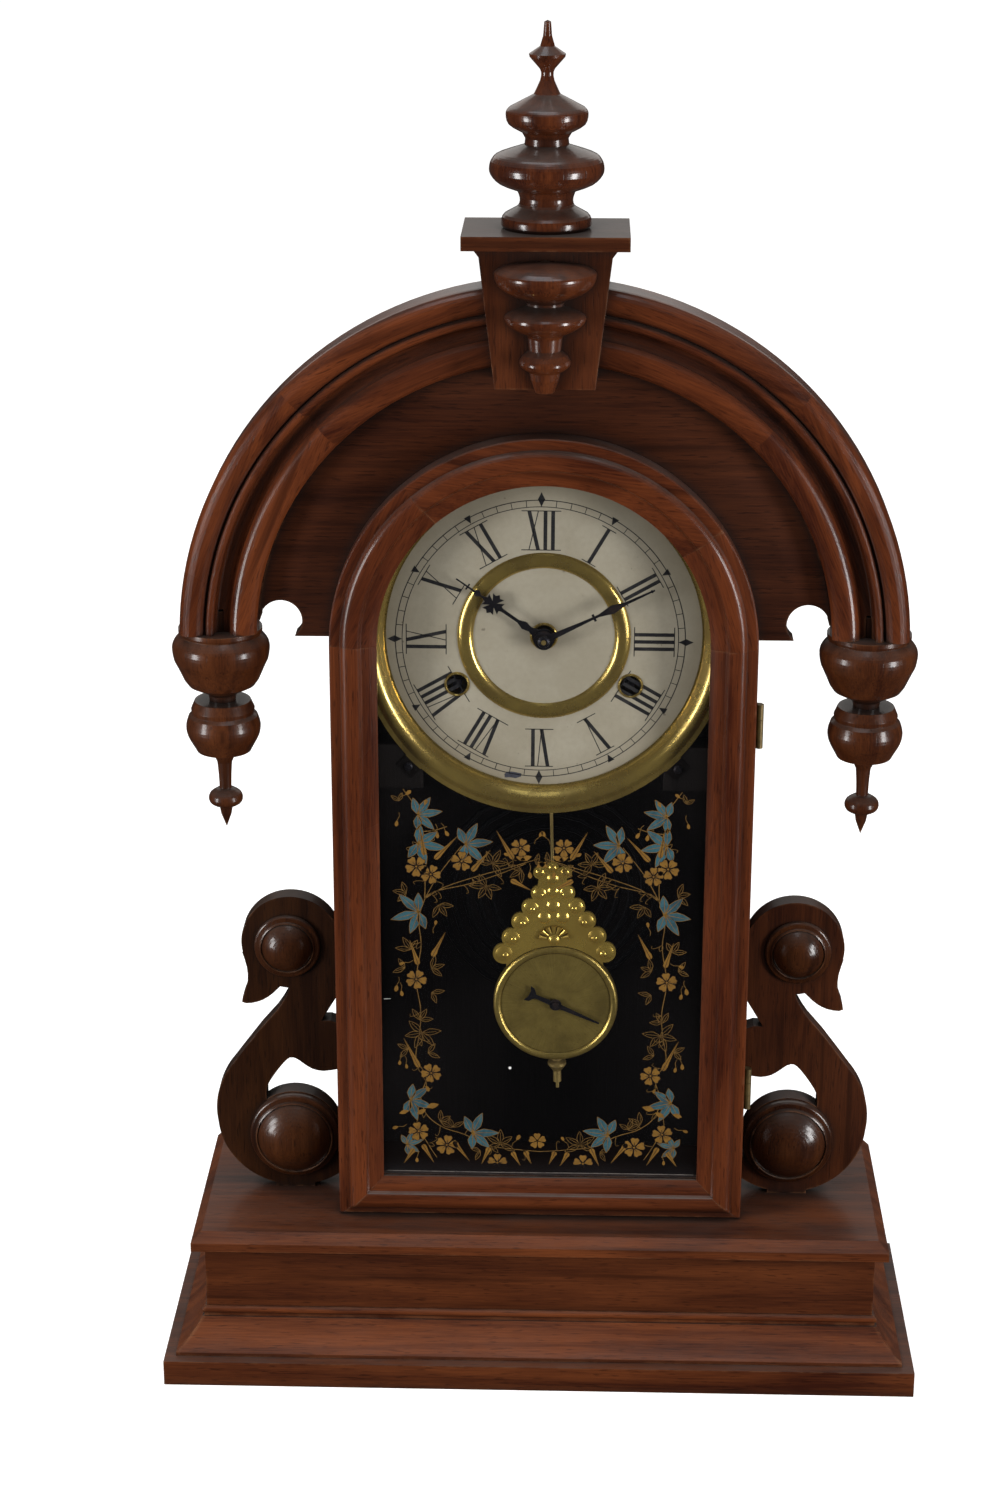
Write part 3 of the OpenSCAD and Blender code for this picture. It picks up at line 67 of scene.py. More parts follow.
# Places taken from the CAD nodes, in millimetres
base_low, base_high = node_box("plinth_board")
paper_low, paper_high = node_box("dial_plate")
glass_low, glass_high = node_box("door_glass")
sides_low, sides_high = node_box("case_sides")
bob_low, bob_high = node_box("pendulum_bob")
BOB_MIDDLE = ((bob_low.x + bob_high.x) / 2, (bob_low.z + bob_high.z) / 2)
FRONT_Y = base_low.y
CENTRE_Z = (paper_low.z + paper_high.z) / 2
PAPER_D = paper_low.y - FRONT_Y
GLASS_BACK_D = glass_high.y - FRONT_Y


def at(x, d, z):
    """A point from its place across, depth from the base's front edge, and height, in millimetres."""
    return Vector((x, FRONT_Y + d, z)) * MM


# Small tools for shapes

STROKE_PAST = 0.4


def turned(point, angle):
    """A flat point turned by an angle in degrees, counterclockwise."""
    c, s = math.cos(math.radians(angle)), math.sin(math.radians(angle))
    return (point[0] * c - point[1] * s, point[0] * s + point[1] * c)


def polar(radius, angle):
    """The flat point at a radius and an angle in degrees."""
    return turned((radius, 0), angle)


def placed(points, spot, angle=0.0, size=1.0):
    """Flat points scaled, turned and moved."""
    out = []
    for p in points:
        q = turned((p[0] * size, p[1] * size), angle)
        out.append((q[0] + spot[0], q[1] + spot[1]))
    return out


def soft_line(points, steps=6):
    """A smooth line through the points."""
    line = []
    for i in range(len(points) - 1):
        a, b = points[max(i - 1, 0)], points[i]
        c, d = points[i + 1], points[min(i + 2, len(points) - 1)]
        for k in range(steps):
            t = k / steps
            line.append(tuple(
                0.5 * (2 * b[j] + (c[j] - a[j]) * t + (2 * a[j] - 5 * b[j] + 4 * c[j] - d[j]) * t * t
                       + (3 * b[j] - a[j] - 3 * c[j] + d[j]) * t ** 3) for j in (0, 1)))
    line.append(tuple(points[-1]))
    return line


def stroke(line, width, end_width=None):
    """Outline of a brush stroke along a line, which may taper toward its end."""
    end_width = width if end_width is None else end_width
    left, right = [], []
    last = len(line) - 1
    for i, p in enumerate(line):
        a, b = line[max(i - 1, 0)], line[min(i + 1, last)]
        dx, dz = b[0] - a[0], b[1] - a[1]
        length = math.hypot(dx, dz) or 1.0
        half = (width + (end_width - width) * i / max(last, 1)) / 2
        left.append((p[0] - dz / length * half, p[1] + dx / length * half))
        right.append((p[0] + dz / length * half, p[1] - dx / length * half))
    return left + right[::-1]


def closed_stroke(line, width):
    """Short strokes along every side of a closed line, each run past its ends to close the corners."""
    n = len(line)
    pieces = []
    for i in range(n):
        a, b = line[i], line[(i + 1) % n]
        dx, dz = b[0] - a[0], b[1] - a[1]
        length = math.hypot(dx, dz) or 1.0
        past = width * STROKE_PAST / length
        ox, oz = dx * past, dz * past
        pieces.append(stroke([(a[0] - ox, a[1] - oz), (b[0] + ox, b[1] + oz)], width))
    return pieces


def prints(name, shapes, front_d, thick, material, body):
    """Flat painted shapes as thin closed plates between two depths, riding on a body."""
    verts, faces = [], []
    for shape in shapes:
        area = sum(p[0] * q[1] - q[0] * p[1] for p, q in zip(shape, shape[1:] + shape[:1]))
        loop = shape if area > 0 else shape[::-1]
        n, first = len(loop), len(verts)
        verts += [at(p[0], front_d, p[1]) for p in loop]
        verts += [at(p[0], front_d + thick, p[1]) for p in loop]
        faces.append([first + i for i in range(n)])
        faces.append([first + n + i for i in reversed(range(n))])
        for i in range(n):
            j = (i + 1) % n
            faces.append([first + i, first + n + i, first + n + j, first + j])
    mesh = bpy.data.meshes.new(name)
    mesh.from_pydata(verts, [], faces)
    mesh.materials.append(material)
    obj = bpy.data.objects.new(name, mesh)
    bpy.context.scene.collection.objects.link(obj)
    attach(obj, body)


# Small tools for materials

CORNER_SAMPLES = 6
EDGE_SAMPLES = 4
EDGE_ROUND = 0.0005


class Paint:
    """One node material. Each method adds a node and returns its output."""

    def __init__(self, name):
        self.material = bpy.data.materials.new(name)
        self.material.use_nodes = True
        self.tree = self.material.node_tree
        self.tree.nodes.clear()

    def node(self, kind, inputs=(), **settings):
        made = self.tree.nodes.new(kind)
        for key, value in settings.items():
            setattr(made, key, value)
        for key, value in dict(inputs).items():
            socket = made.inputs[key]
            if isinstance(value, bpy.types.NodeSocket):
                self.tree.links.new(value, socket)
            else:
                socket.default_value = value
        return made

    def place(self):
        return self.node("ShaderNodeTexCoord").outputs["Object"]

    def facing(self):
        return self.node("ShaderNodeTexCoord").outputs["Normal"]

    def moved(self, vector, offset=(0, 0, 0), scale=(1, 1, 1)):
        made = self.node("ShaderNodeMapping", {"Vector": vector, "Location": offset, "Scale": scale})
        return made.outputs["Vector"]

    def noise(self, vector, scale, detail=2.0, rough=0.5, distortion=0.0):
        inputs = {"Vector": vector, "Scale": scale, "Detail": detail, "Roughness": rough,
                  "Distortion": distortion}
        return self.node("ShaderNodeTexNoise", inputs).outputs["Fac"]

    def math(self, operation, a, b=0.0, c=0.5, clamp=False):
        inputs = {0: a, 1: b, 2: c}
        return self.node("ShaderNodeMath", inputs, operation=operation, use_clamp=clamp).outputs[0]

    def product(self, first, *others):
        for other in others:
            first = self.math("MULTIPLY", first, other)
        return first

    def step(self, value, low, high, to_low=0.0, to_high=1.0):
        """A smooth step from one value to another."""
        inputs = {"Value": value, "From Min": low, "From Max": high, "To Min": to_low, "To Max": to_high}
        return self.node("ShaderNodeMapRange", inputs, interpolation_type="SMOOTHSTEP").outputs["Result"]

    def mix(self, factor, a, b, blend="MIX"):
        made = self.node("ShaderNodeMix", data_type="RGBA", blend_type=blend)
        for index, value in ((0, factor), (6, a), (7, b)):
            socket = made.inputs[index]
            if isinstance(value, bpy.types.NodeSocket):
                self.tree.links.new(value, socket)
            elif index == 0:
                socket.default_value = value
            else:
                socket.default_value = (*value, 1.0)
        return made.outputs[2]

    def split(self, vector):
        return self.node("ShaderNodeSeparateXYZ", {"Vector": vector}).outputs

    def join(self, x, y, z):
        return self.node("ShaderNodeCombineXYZ", {"X": x, "Y": y, "Z": z}).outputs["Vector"]

    def hollow(self, reach, inside=False):
        """How open a place is: 1 in the open, toward 0 in a corner, or at an edge seen from inside."""
        made = self.node("ShaderNodeAmbientOcclusion", {"Distance": reach}, samples=CORNER_SAMPLES,
                         inside=inside, only_local=inside)
        return made.outputs["AO"]

    def bump(self, height, strength, distance, normal=None):
        inputs = {"Height": height, "Strength": strength, "Distance": distance}
        if normal is not None:
            inputs["Normal"] = normal
        return self.node("ShaderNodeBump", inputs).outputs["Normal"]

    def finish(self, **inputs):
        """The shader with those inputs, and the material's output."""
        named = {key.replace("_", " "): value for key, value in inputs.items()}
        shader = self.node("ShaderNodeBsdfPrincipled", named)
        self.node("ShaderNodeOutputMaterial", {"Surface": shader.outputs[0]})
        return self.material


def rgb(*values):
    return (*values, 1.0)


# Wood

# Near black: for grime and black stain, and for painted shade in corners
BLACK_GRIME_AND_SHADE = (0.006, 0.0035, 0.0025)
WALNUT_PALE = (0.122, 0.0325, 0.0088)
WALNUT_DEEP = (0.027, 0.0060, 0.0025)
DARKEST = 0.35
RUBBED = (0.20, 0.085, 0.038)
# Light grey: dust, made light enough to stand for a painted sheen on upper sides
DUST_AND_SHEEN = (0.105, 0.086, 0.076)
SEGMENT_SHADE = (0.55, 0.42, 0.40)
SEGMENT_JUMP = 0.31
PIECE_SHIFT = (0.37, 0.53, 0.71)
DOOR_JOINTS = (35.0, 130.0)
DOOR_MIDS = (17.5, 82.5, 155.0)
HEAD_STEP = 45.0
# How far the painted shade of recesses reaches
HOLLOW_REACH = 0.055
CORNER_REACH = 0.007
EDGE_REACH = 0.0016
INNER_STAIN = 0.9


def shaded(colour, share):
    return tuple(c * share for c in colour)


def tinted(colour, tone_and_light, red):
    """A colour made lighter or darker by a tone that holds painted light for some pieces, with its red
    changed by a share of its own.
    """
    return (colour[0] * tone_and_light * red, colour[1] * tone_and_light, colour[2] * tone_and_light)


def door_segments(paint, angle):
    """Which of the door arch's three segments an angle lies in, and how far its grain is turned."""
    past_first, past_second = (paint.math("GREATER_THAN", angle, math.radians(a)) for a in DOOR_JOINTS)
    low, mid, high = (math.radians(a) for a in DOOR_MIDS)
    turn = paint.math("MULTIPLY_ADD", past_first, mid - low, low)
    turn = paint.math("ADD", turn, paint.math("MULTIPLY", past_second, high - mid))
    return paint.math("ADD", past_first, past_second), turn


def head_segments(paint, angle):
    """Which step of the head moulding an angle lies in, and how far its grain is turned."""
    size = math.radians(HEAD_STEP)
    part = paint.math("FLOOR", paint.math("DIVIDE", angle, size))
    return part, paint.math("MULTIPLY", paint.math("ADD", part, 0.5), size)


def grain_place(paint, grain, seed):
    """Coordinates with the grain along Z, shifted for each piece, and the segment of a curved piece."""
    place = paint.place()
    x, y, z = paint.split(place)
    part = None
    if grain == "X":
        place = paint.join(z, y, x)
    elif grain in ("door", "head"):
        segments = door_segments if grain == "door" else head_segments
        part, turn = segments(paint, paint.math("ARCTAN2", paint.math("SUBTRACT", z, CENTRE_Z * MM), x))
        inputs = {"Vector": place, "Center": (0, 0, CENTRE_Z * MM), "Angle": turn}
        along = paint.node("ShaderNodeVectorRotate", inputs, rotation_type="Y_AXIS").outputs[0]
        jump = paint.math("MULTIPLY", part, SEGMENT_JUMP)
        inputs = {0: along, 1: paint.join(jump, 0.0, jump)}
        place = paint.node("ShaderNodeVectorMath", inputs, operation="ADD").outputs[0]
    return paint.moved(place, tuple(seed * s for s in PIECE_SHIFT)), part


def walnut_share(paint, place, fibres, patches, figure):
    """How pale the wood is, from its growth lines, broad bands, fibres and patches."""
    lines = paint.noise(paint.moved(place, scale=(26, 26, 2.1)), 1.0, 2.0, 0.45, 0.25)
    rings = paint.step(paint.math("SINE", paint.math("MULTIPLY", lines, 58.0)), -0.9, 0.95)
    broad = paint.noise(paint.moved(place, scale=(46, 46, 4.5)), 1.0, 3.0, 0.55)
    share = paint.math("MULTIPLY_ADD", rings, 0.28 * figure, 0.24 - 0.12 * figure)
    share = paint.math("ADD", share, paint.step(broad, 0.28, 0.74, 0.0, 0.42))
    share = paint.math("ADD", share, paint.step(fibres, 0.30, 0.72, -0.16, 0.16))
    return paint.math("ADD", share, paint.step(patches, 0.3, 0.7, -0.14, 0.14), clamp=True)


def shade_and_wear_wood(paint, place, colour, corner, darkest):
    """Painted shade in hollows, dirt with painted shade in the corners, and rubbed edges over a colour."""
    # Painted shade: darker the deeper a recess lies.
    recess_shade = paint.step(paint.hollow(HOLLOW_REACH), 0.25, 0.85, 0.50, 0.0)
    colour = paint.mix(recess_shade, colour, darkest)
    # Grime and painted shade: near black in the corners.
    colour = paint.mix(paint.math("MULTIPLY", corner, 0.72), colour, BLACK_GRIME_AND_SHADE)
    edge = paint.step(paint.hollow(EDGE_REACH, inside=True), 0.45, 0.80, 1.0, 0.0)
    rub = paint.step(paint.noise(paint.moved(place, scale=(60, 60, 60)), 1.0, 3.0, 0.7), 0.42, 0.62)
    return paint.mix(paint.product(edge, rub, 0.5), colour, RUBBED)


def dust_and_sheen_share(paint, place, pale_film):
    """Dust with a painted sheen where a side looks up, thicker and thinner in patches."""
    up = paint.step(paint.split(paint.facing())[2], 0.25, 0.95)
    film = paint.noise(paint.moved(place, scale=(70, 70, 30)), 1.0, 4.0, 0.65)
    return paint.product(up, paint.step(film, 0.25, 0.75, 0.35, 1.0), pale_film)


def stain_inside(paint, colour, inner):
    """Black over what lies inside the case, given by its half width and its front."""
    x, y, _ = paint.split(paint.place())
    within = paint.math("LESS_THAN", paint.math("ABSOLUTE", x), inner[0] * MM)
    behind = paint.math("GREATER_THAN", y, inner[1] * MM)
    return paint.mix(paint.product(within, behind, INNER_STAIN), colour, BLACK_GRIME_AND_SHADE)


def wood(name, grain="Z", seed=0, tone_and_light=1.0, red=1.0, pale_film=0.4, gloss=0.36, figure=1.0, polish=0.12,
         inner=None):
    """Old oiled walnut, stained black inside the case where inner is given."""
    paint = Paint(name)
    place, part = grain_place(paint, grain, seed)
    # The tone carries painted light: the base pieces lighter, the head panel and the left bracket darker.
    pale, deep = (tinted(colour, tone_and_light, red) for colour in (WALNUT_PALE, WALNUT_DEEP))
    fibres = paint.noise(paint.moved(place, scale=(1500, 1500, 46)), 1.0, 3.0, 0.6)
    pores = paint.step(paint.noise(paint.moved(place, scale=(1300, 1300, 120)), 1.0, 1.0), 0.60, 0.72)
    streaks = paint.noise(paint.moved(place, scale=(150, 150, 3.6)), 1.0, 2.0, 0.5)
    patches = paint.noise(paint.moved(place, scale=(9, 9, 6)), 1.0, 3.0, 0.6)
    colour = paint.mix(walnut_share(paint, place, fibres, patches, figure), deep, pale)
    if grain == "door":
        shade = paint.math("FRACT", paint.math("MULTIPLY_ADD", part, 0.618, 0.5))
        colour = paint.mix(paint.math("MULTIPLY", shade, 0.45), colour, SEGMENT_SHADE, "MULTIPLY")
    streaks = paint.step(streaks, 0.56, 0.74, 0.0, 0.55)
    dark = paint.math("MAXIMUM", streaks, paint.math("MULTIPLY", pores, 0.50))
    colour = paint.mix(dark, colour, shaded(deep, DARKEST))
    # Corners: grime and painted shade, and a rougher finish.
    corner = paint.step(paint.hollow(CORNER_REACH), 0.35, 0.90, 1.0, 0.0)
    colour = shade_and_wear_wood(paint, place, colour, corner, shaded(deep, DARKEST))
    # Dust and a painted sheen on the sides that look up.
    dust_and_sheen_mask = dust_and_sheen_share(paint, place, pale_film)
    colour = paint.mix(dust_and_sheen_mask, colour, DUST_AND_SHEEN)
    if inner is not None:
        colour = stain_inside(paint, colour, inner)
    rough = paint.step(patches, 0.25, 0.75, gloss - 0.07, gloss + 0.10)
    rough = paint.math("ADD", rough, paint.math("MULTIPLY", corner, 0.25))
    rough = paint.math("ADD", rough, paint.math("MULTIPLY", dust_and_sheen_mask, 0.35), clamp=True)
    height = paint.math("ADD", paint.math("MULTIPLY", fibres, 0.5), paint.math("MULTIPLY", pores, -0.9))
    rounded = paint.node("ShaderNodeBevel", {"Radius": EDGE_ROUND}, samples=EDGE_SAMPLES).outputs["Normal"]
    normal = paint.bump(height, 0.22, 0.00022, rounded)
    return paint.finish(Base_Color=colour, Roughness=rough, Normal=normal, Specular_IOR_Level=0.20,
                        Coat_Weight=polish, Coat_Roughness=0.16)


BARE_LINES = ((0.15, 0.085, 0.045), (0.24, 0.15, 0.085))
BARE_FIBRE = (0.10, 0.055, 0.03)
BARE_STAIN = (0.07, 0.042, 0.026)
BLACK_STAIN = ((0.0035, 0.0024, 0.0022), (0.0075, 0.0050, 0.0042))
STAIN_ENDS = 6.0


def inside_wood(name):
    """Case back and blocks: stained nearly black where the door shows them, bare and aged behind, with
    painted shade in the corners.
    """
    paint = Paint(name)
    place = paint.moved(paint.place(), (3.1, 0.7, 1.9))
    y = paint.split(paint.place())[1]
    end = base_high.y - STAIN_ENDS
    stained = paint.step(y, (end - 0.5) * MM, (end + 0.5) * MM, 1.0, 0.0)
    lines = paint.noise(paint.moved(place, scale=(34, 34, 2.6)), 1.0, 2.0, 0.5, 0.3)
    rings = paint.step(paint.math("SINE", paint.math("MULTIPLY", lines, 46.0)), -0.9, 0.9)
    fibres = paint.noise(paint.moved(place, scale=(1200, 1200, 40)), 1.0, 3.0, 0.6)
    stain = paint.noise(place, 11.0, 4.0, 0.6)
    bare = paint.mix(rings, *BARE_LINES)
    bare = paint.mix(paint.step(fibres, 0.35, 0.7, 0.0, 0.45), bare, BARE_FIBRE)
    bare = paint.mix(paint.step(stain, 0.45, 0.72, 0.0, 0.6), bare, BARE_STAIN)
    colour = paint.mix(stained, bare, paint.mix(fibres, *BLACK_STAIN))
    # Painted shade: near black in the corners.
    corner = paint.step(paint.hollow(0.012), 0.35, 0.9, 0.75, 0.0)
    colour = paint.mix(corner, colour, BLACK_GRIME_AND_SHADE)
    normal = paint.bump(fibres, 0.3, 0.0003)
    return paint.finish(Base_Color=colour, Roughness=0.75, Normal=normal, Specular_IOR_Level=0.2)


# Metal, paper and glass

# Brass farther than this from the dial's middle is blackened, in millimetres
RIM_R = 88.6
RIM_BLEND = 0.3
METALLIC = 0.78
STRONG_BRUSHING = 0.3
SPIN_LINES = 34.0
PAPER = ((0.385, 0.350, 0.270), (0.325, 0.290, 0.215))
PAPER_RIM = (0.21, 0.178, 0.120)
PAPER_FIBRE = (0.20, 0.176, 0.128)
PAPER_SPECK = (0.10, 0.075, 0.05)
PAPER_CENTRE = (0.16, 0.13, 0.09)
PAPER_CORNER_SHADE = (0.10, 0.075, 0.045)
GLASS_TINT = (0.07, 0.07, 0.077)
DUSTY_FOOT = 14
FLOOR_COLOURS = ((0.92, 0.92, 0.92), (0.89, 0.89, 0.89))
FLOOR_GLOW = 0.62


def dial_radius(paint):
    """Distance from the middle of the dial, in metres."""
    x, _, z = paint.split(paint.place())
    up = paint.math("SUBTRACT", z, CENTRE_Z * MM)
    return paint.math("SQRT", paint.math("ADD", paint.product(x, x), paint.product(up, up)))


def scratches(paint, place, spin):
    """Fine upright scratches, or lines that run out from the point spin."""
    if spin is None:
        return paint.noise(paint.moved(place, scale=(2600, 2600, 160)), 1.0, 2.0, 0.6)
    x, _, z = paint.split(place)
    far_x = paint.math("SUBTRACT", x, spin[0] * MM)
    far_z = paint.math("SUBTRACT", z, spin[1] * MM)
    angle = paint.math("MULTIPLY", paint.math("ARCTAN2", far_z, far_x), SPIN_LINES)
    return paint.noise(paint.join(angle, 0.0, 0.0), 1.0, 4.0, 0.7)


def metal(name, bright, dull, rough, tarnish=0.5, brushed=0.0, grime_and_shade=0.6, spin=None, dark_past=None):
    """Aged metal: bright and dull in soft patches, with fine scratches, and dirt and painted shade in its
    corners.

    Past the radius dark_past from the dial's middle it is blackened.
    """
    paint = Paint(name)
    place = paint.place()
    cloud = paint.noise(place, 55.0, 5.0, 0.62)
    specks = paint.step(paint.noise(place, 900.0, 2.0, 0.6), 0.62, 0.74)
    colour = paint.mix(paint.step(cloud, 0.30, 0.70, 0.0, tarnish), bright, dull)
    colour = paint.mix(paint.math("MULTIPLY", specks, 0.5 * tarnish), colour, shaded(dull, 0.3))
    # Dirt and painted shade: darker in the corners.
    corner = paint.step(paint.hollow(0.004), 0.25, 0.85, 1.0, 0.0)
    colour = paint.mix(paint.math("MULTIPLY", corner, grime_and_shade), colour, shaded(dull, 0.12))
    scratch = scratches(paint, place, spin)
    roughness = paint.step(cloud, 0.3, 0.7, rough - 0.05, rough + 0.10)
    roughness = paint.math("ADD", roughness, paint.math("MULTIPLY", corner, 0.25))
    normal = paint.bump(scratch, brushed, 0.0002)
    if brushed > STRONG_BRUSHING:
        colour = paint.mix(paint.step(scratch, 0.35, 0.65, 0.0, 0.35), colour, dull)
    if dark_past is not None:
        start, end = (dark_past - RIM_BLEND) * MM, (dark_past + RIM_BLEND) * MM
        black = paint.step(dial_radius(paint), start, end)
        colour = paint.mix(black, colour, BLACK_GRIME_AND_SHADE)
        roughness = paint.math("ADD", roughness, paint.math("MULTIPLY", black, 0.5))
    return paint.finish(Base_Color=colour, Metallic=METALLIC, Roughness=roughness, Normal=normal)


def dark_iron(name, base, rust, rough):
    """Cast or blued iron: near black, with a faint bloom of rust and painted shade in its corners."""
    paint = Paint(name)
    place = paint.place()
    cloud = paint.noise(place, 90.0, 5.0, 0.65)
    grit = paint.noise(place, 1400.0, 2.0, 0.6)
    colour = paint.mix(paint.step(cloud, 0.50, 0.78, 0.0, 0.8), base, rust)
    # Painted shade: darker in the corners.
    corner = paint.step(paint.hollow(0.004), 0.3, 0.9, 0.6, 0.0)
    colour = paint.mix(corner, colour, shaded(base, 0.3))
    roughness = paint.step(cloud, 0.3, 0.7, rough, rough + 0.2)
    normal = paint.bump(grit, 0.25, 0.0002)
    return paint.finish(Base_Color=colour, Metallic=0.75, Roughness=roughness, Normal=normal)


def dial_paper(name):
    """Cream paper on zinc, browned toward its edge, with fly specks, soft stains and painted shade in its
    corners.
    """
    paint = Paint(name)
    place = paint.place()
    radius = dial_radius(paint)
    cloud = paint.noise(place, 24.0, 4.0, 0.6)
    fine = paint.noise(place, 420.0, 3.0, 0.6)
    specks = paint.step(paint.noise(paint.moved(place, (0.4, 0.1, 0.9)), 310.0, 1.0, 0.5), 0.765, 0.80)
    colour = paint.mix(paint.step(cloud, 0.3, 0.7), *PAPER)
    wavy = paint.math("ADD", radius, paint.math("MULTIPLY", cloud, 0.008))
    colour = paint.mix(paint.step(wavy, 0.060, 0.080, 0.0, 0.55), colour, PAPER_RIM)
    colour = paint.mix(paint.step(fine, 0.35, 0.7, 0.0, 0.12), colour, PAPER_FIBRE)
    colour = paint.mix(paint.math("MULTIPLY", specks, 0.55), colour, PAPER_SPECK)
    colour = paint.mix(paint.step(radius, 0.005, 0.017, 0.30, 0.0), colour, PAPER_CENTRE)
    # Painted shade: darker in corners against raised parts.
    corner = paint.step(paint.hollow(0.005), 0.3, 0.95, 0.55, 0.0)
    colour = paint.mix(corner, colour, PAPER_CORNER_SHADE)
    normal = paint.bump(paint.math("ADD", fine, cloud), 0.10, 0.0003)
    return paint.finish(Base_Color=colour, Roughness=0.52, Normal=normal, Specular_IOR_Level=0.3)


def printed(name, colours, scale, rough=0.55, fade=0.35):
    """Ink or paint in two colours, with worn and thinner places."""
    paint = Paint(name)
    place = paint.place()
    colour, other = colours
    worn = paint.noise(place, scale, 4.0, 0.65)
    mixed = paint.mix(paint.step(worn, 0.40, 0.72, 0.0, fade), colour, other)
    grain = paint.noise(place, scale * 6, 2.0, 0.5)
    mixed = paint.mix(paint.step(grain, 0.45, 0.75, 0.0, 0.3), mixed, other)
    return paint.finish(Base_Color=mixed, Roughness=rough, Specular_IOR_Level=0.3)


def window_glass(name):
    """Old thin glass, with a light dusting along its lower edge."""
    paint = Paint(name)
    z = paint.split(paint.place())[2]
    smear = paint.noise(paint.place(), 30.0, 3.0, 0.6)
    low = paint.step(z, glass_low.z * MM, (glass_low.z + DUSTY_FOOT) * MM, 0.10, 0.0)
    veil = paint.math("ADD", paint.math("MULTIPLY", low, smear), 0.018)
    rough = paint.step(smear, 0.3, 0.7, 0.03, 0.09)
    return paint.finish(Base_Color=rgb(*GLASS_TINT), Roughness=rough, Alpha=veil, Specular_IOR_Level=0.5)


def plain_floor(name):
    """A pale floor that glows a little, as in an evenly lit studio."""
    paint = Paint(name)
    speck = paint.noise(paint.place(), 6.0, 3.0, 0.6)
    colour = paint.mix(paint.step(speck, 0.3, 0.7, 0.0, 0.15), *FLOOR_COLOURS)
    return paint.finish(Base_Color=colour, Roughness=0.9, Specular_IOR_Level=0.0,
                        Emission_Color=rgb(1.0, 1.0, 1.0), Emission_Strength=FLOOR_GLOW)


# What wood() is given for each walnut node
# Each piece's dust amount covers dust and a painted sheen on its upper sides.
# The tone of each piece is partly its own and partly painted light: the base pieces are lighter, and the
# head panel under the arch and the left swan bracket darker than the right one, for how the light falls on
# them.
WOODEN = {
    "plinth_board": dict(grain="X", tone_and_light=1.55, pale_film=0.4),
    "plinth_moulding": dict(grain="X", tone_and_light=1.6, pale_film=0.2, figure=0.9),
    "plinth_frieze": dict(grain="X", tone_and_light=1.15, figure=0.7),
    "plinth_top": dict(grain="X", tone_and_light=1.45, pale_film=0.22, figure=0.8),
    "case_sides": dict(tone_and_light=1.0, gloss=0.5),
    "case_top": dict(grain="X", tone_and_light=0.8, gloss=0.55, pale_film=0.8),
    "head_panel": dict(grain="X", tone_and_light=0.66, red=1.05, figure=0.25, gloss=0.44),
    "arch_moulding": dict(grain="head", tone_and_light=1.30, red=1.1, figure=0.9, pale_film=0.25, gloss=0.30, polish=0.5),
    "arch_pendants": dict(tone_and_light=0.95, red=0.95, figure=0.6, gloss=0.30, polish=0.4),
    "keystone": dict(tone_and_light=0.90, red=1.05, figure=0.6, polish=0.2),
    "keystone_cap": dict(grain="X", tone_and_light=1.0, figure=0.6, pale_film=1.0, polish=0.3),
    "keystone_drop": dict(tone_and_light=1.2, red=1.05, figure=0.6, gloss=0.27, polish=0.8),
    "top_finial": dict(tone_and_light=1.3, red=1.05, figure=0.6, gloss=0.27, pale_film=0.8, polish=0.8),
    "swan_bracket_left": dict(tone_and_light=0.52, red=0.82, figure=0.7, gloss=0.44),
    "swan_bracket_right": dict(tone_and_light=0.72, red=1.0, figure=0.7, gloss=0.44),
    "bracket_bosses": dict(tone_and_light=0.75, red=0.88, figure=0.7, gloss=0.28, polish=0.4),
    "door_stiles": dict(tone_and_light=1.3, red=1.1, figure=0.7, gloss=0.30, polish=0.5),
    "door_bottom_rail": dict(grain="X", tone_and_light=1.2, red=1.05, figure=0.7, pale_film=1.0, gloss=0.30, polish=0.4),
    "door_arch": dict(grain="door", tone_and_light=1.25, red=1.1, figure=0.7, gloss=0.32, pale_film=0.6, polish=0.25),
    "glass_beads": dict(tone_and_light=0.35, figure=0.5),
}


# Bright and dull brass, and the black and the rust of iron
DIAL_BRASS = ((0.49, 0.35, 0.092), (0.21, 0.146, 0.045))
PRESSED_BRASS = ((0.68, 0.48, 0.105), (0.36, 0.23, 0.050))
BOB_BRASS = ((0.50, 0.37, 0.100), (0.17, 0.122, 0.032))
OLD_BRASS = ((0.50, 0.37, 0.13), (0.22, 0.15, 0.055))
HINGE_BRASS = ((0.32, 0.23, 0.10), (0.12, 0.085, 0.04))
BLUED_STEEL = ((0.020, 0.019, 0.024), (0.050, 0.028, 0.020))
SPRING_STEEL = ((0.006, 0.006, 0.007), (0.009, 0.006, 0.005))
CAST_IRON = ((0.022, 0.021, 0.022), (0.050, 0.028, 0.018))
OLD_BRASS_NODES = ("hour_wheel", "pendulum_rod", "rating_nut", "movement_plates", "plate_pillars",
                   "time_great_wheel", "time_second_wheel", "centre_wheel", "fourth_wheel",
                   "escape_wheel", "minute_wheel", "strike_great_wheel", "strike_second_wheel",
                   "strike_third_wheel", "strike_fly")
BLUED_NODES = ("minute_hand", "hour_hand", "bob_pointer", "hammer", "verge_and_crutch", "wood_screws",
               "time_winding_arbor", "strike_winding_arbor", "hand_nut")


def dress(material, *names):
    """Gives CAD nodes their material."""
    for name in names:
        materials = NODES[name].data.materials
        materials.clear()
        materials.append(material)


def dress_wood():
    """Each walnut node has a look and a shift of its own. The top board is black inside the case."""
    for seed, (name, look) in enumerate(WOODEN.items(), 1):
        inner = (sides_high.x, sides_low.y) if name == "plinth_top" else None
        dress(wood("wood_" + name, seed=seed, inner=inner, **look), name)
    dress(inside_wood("inside_wood_aged"), "case_back", "case_blocks")


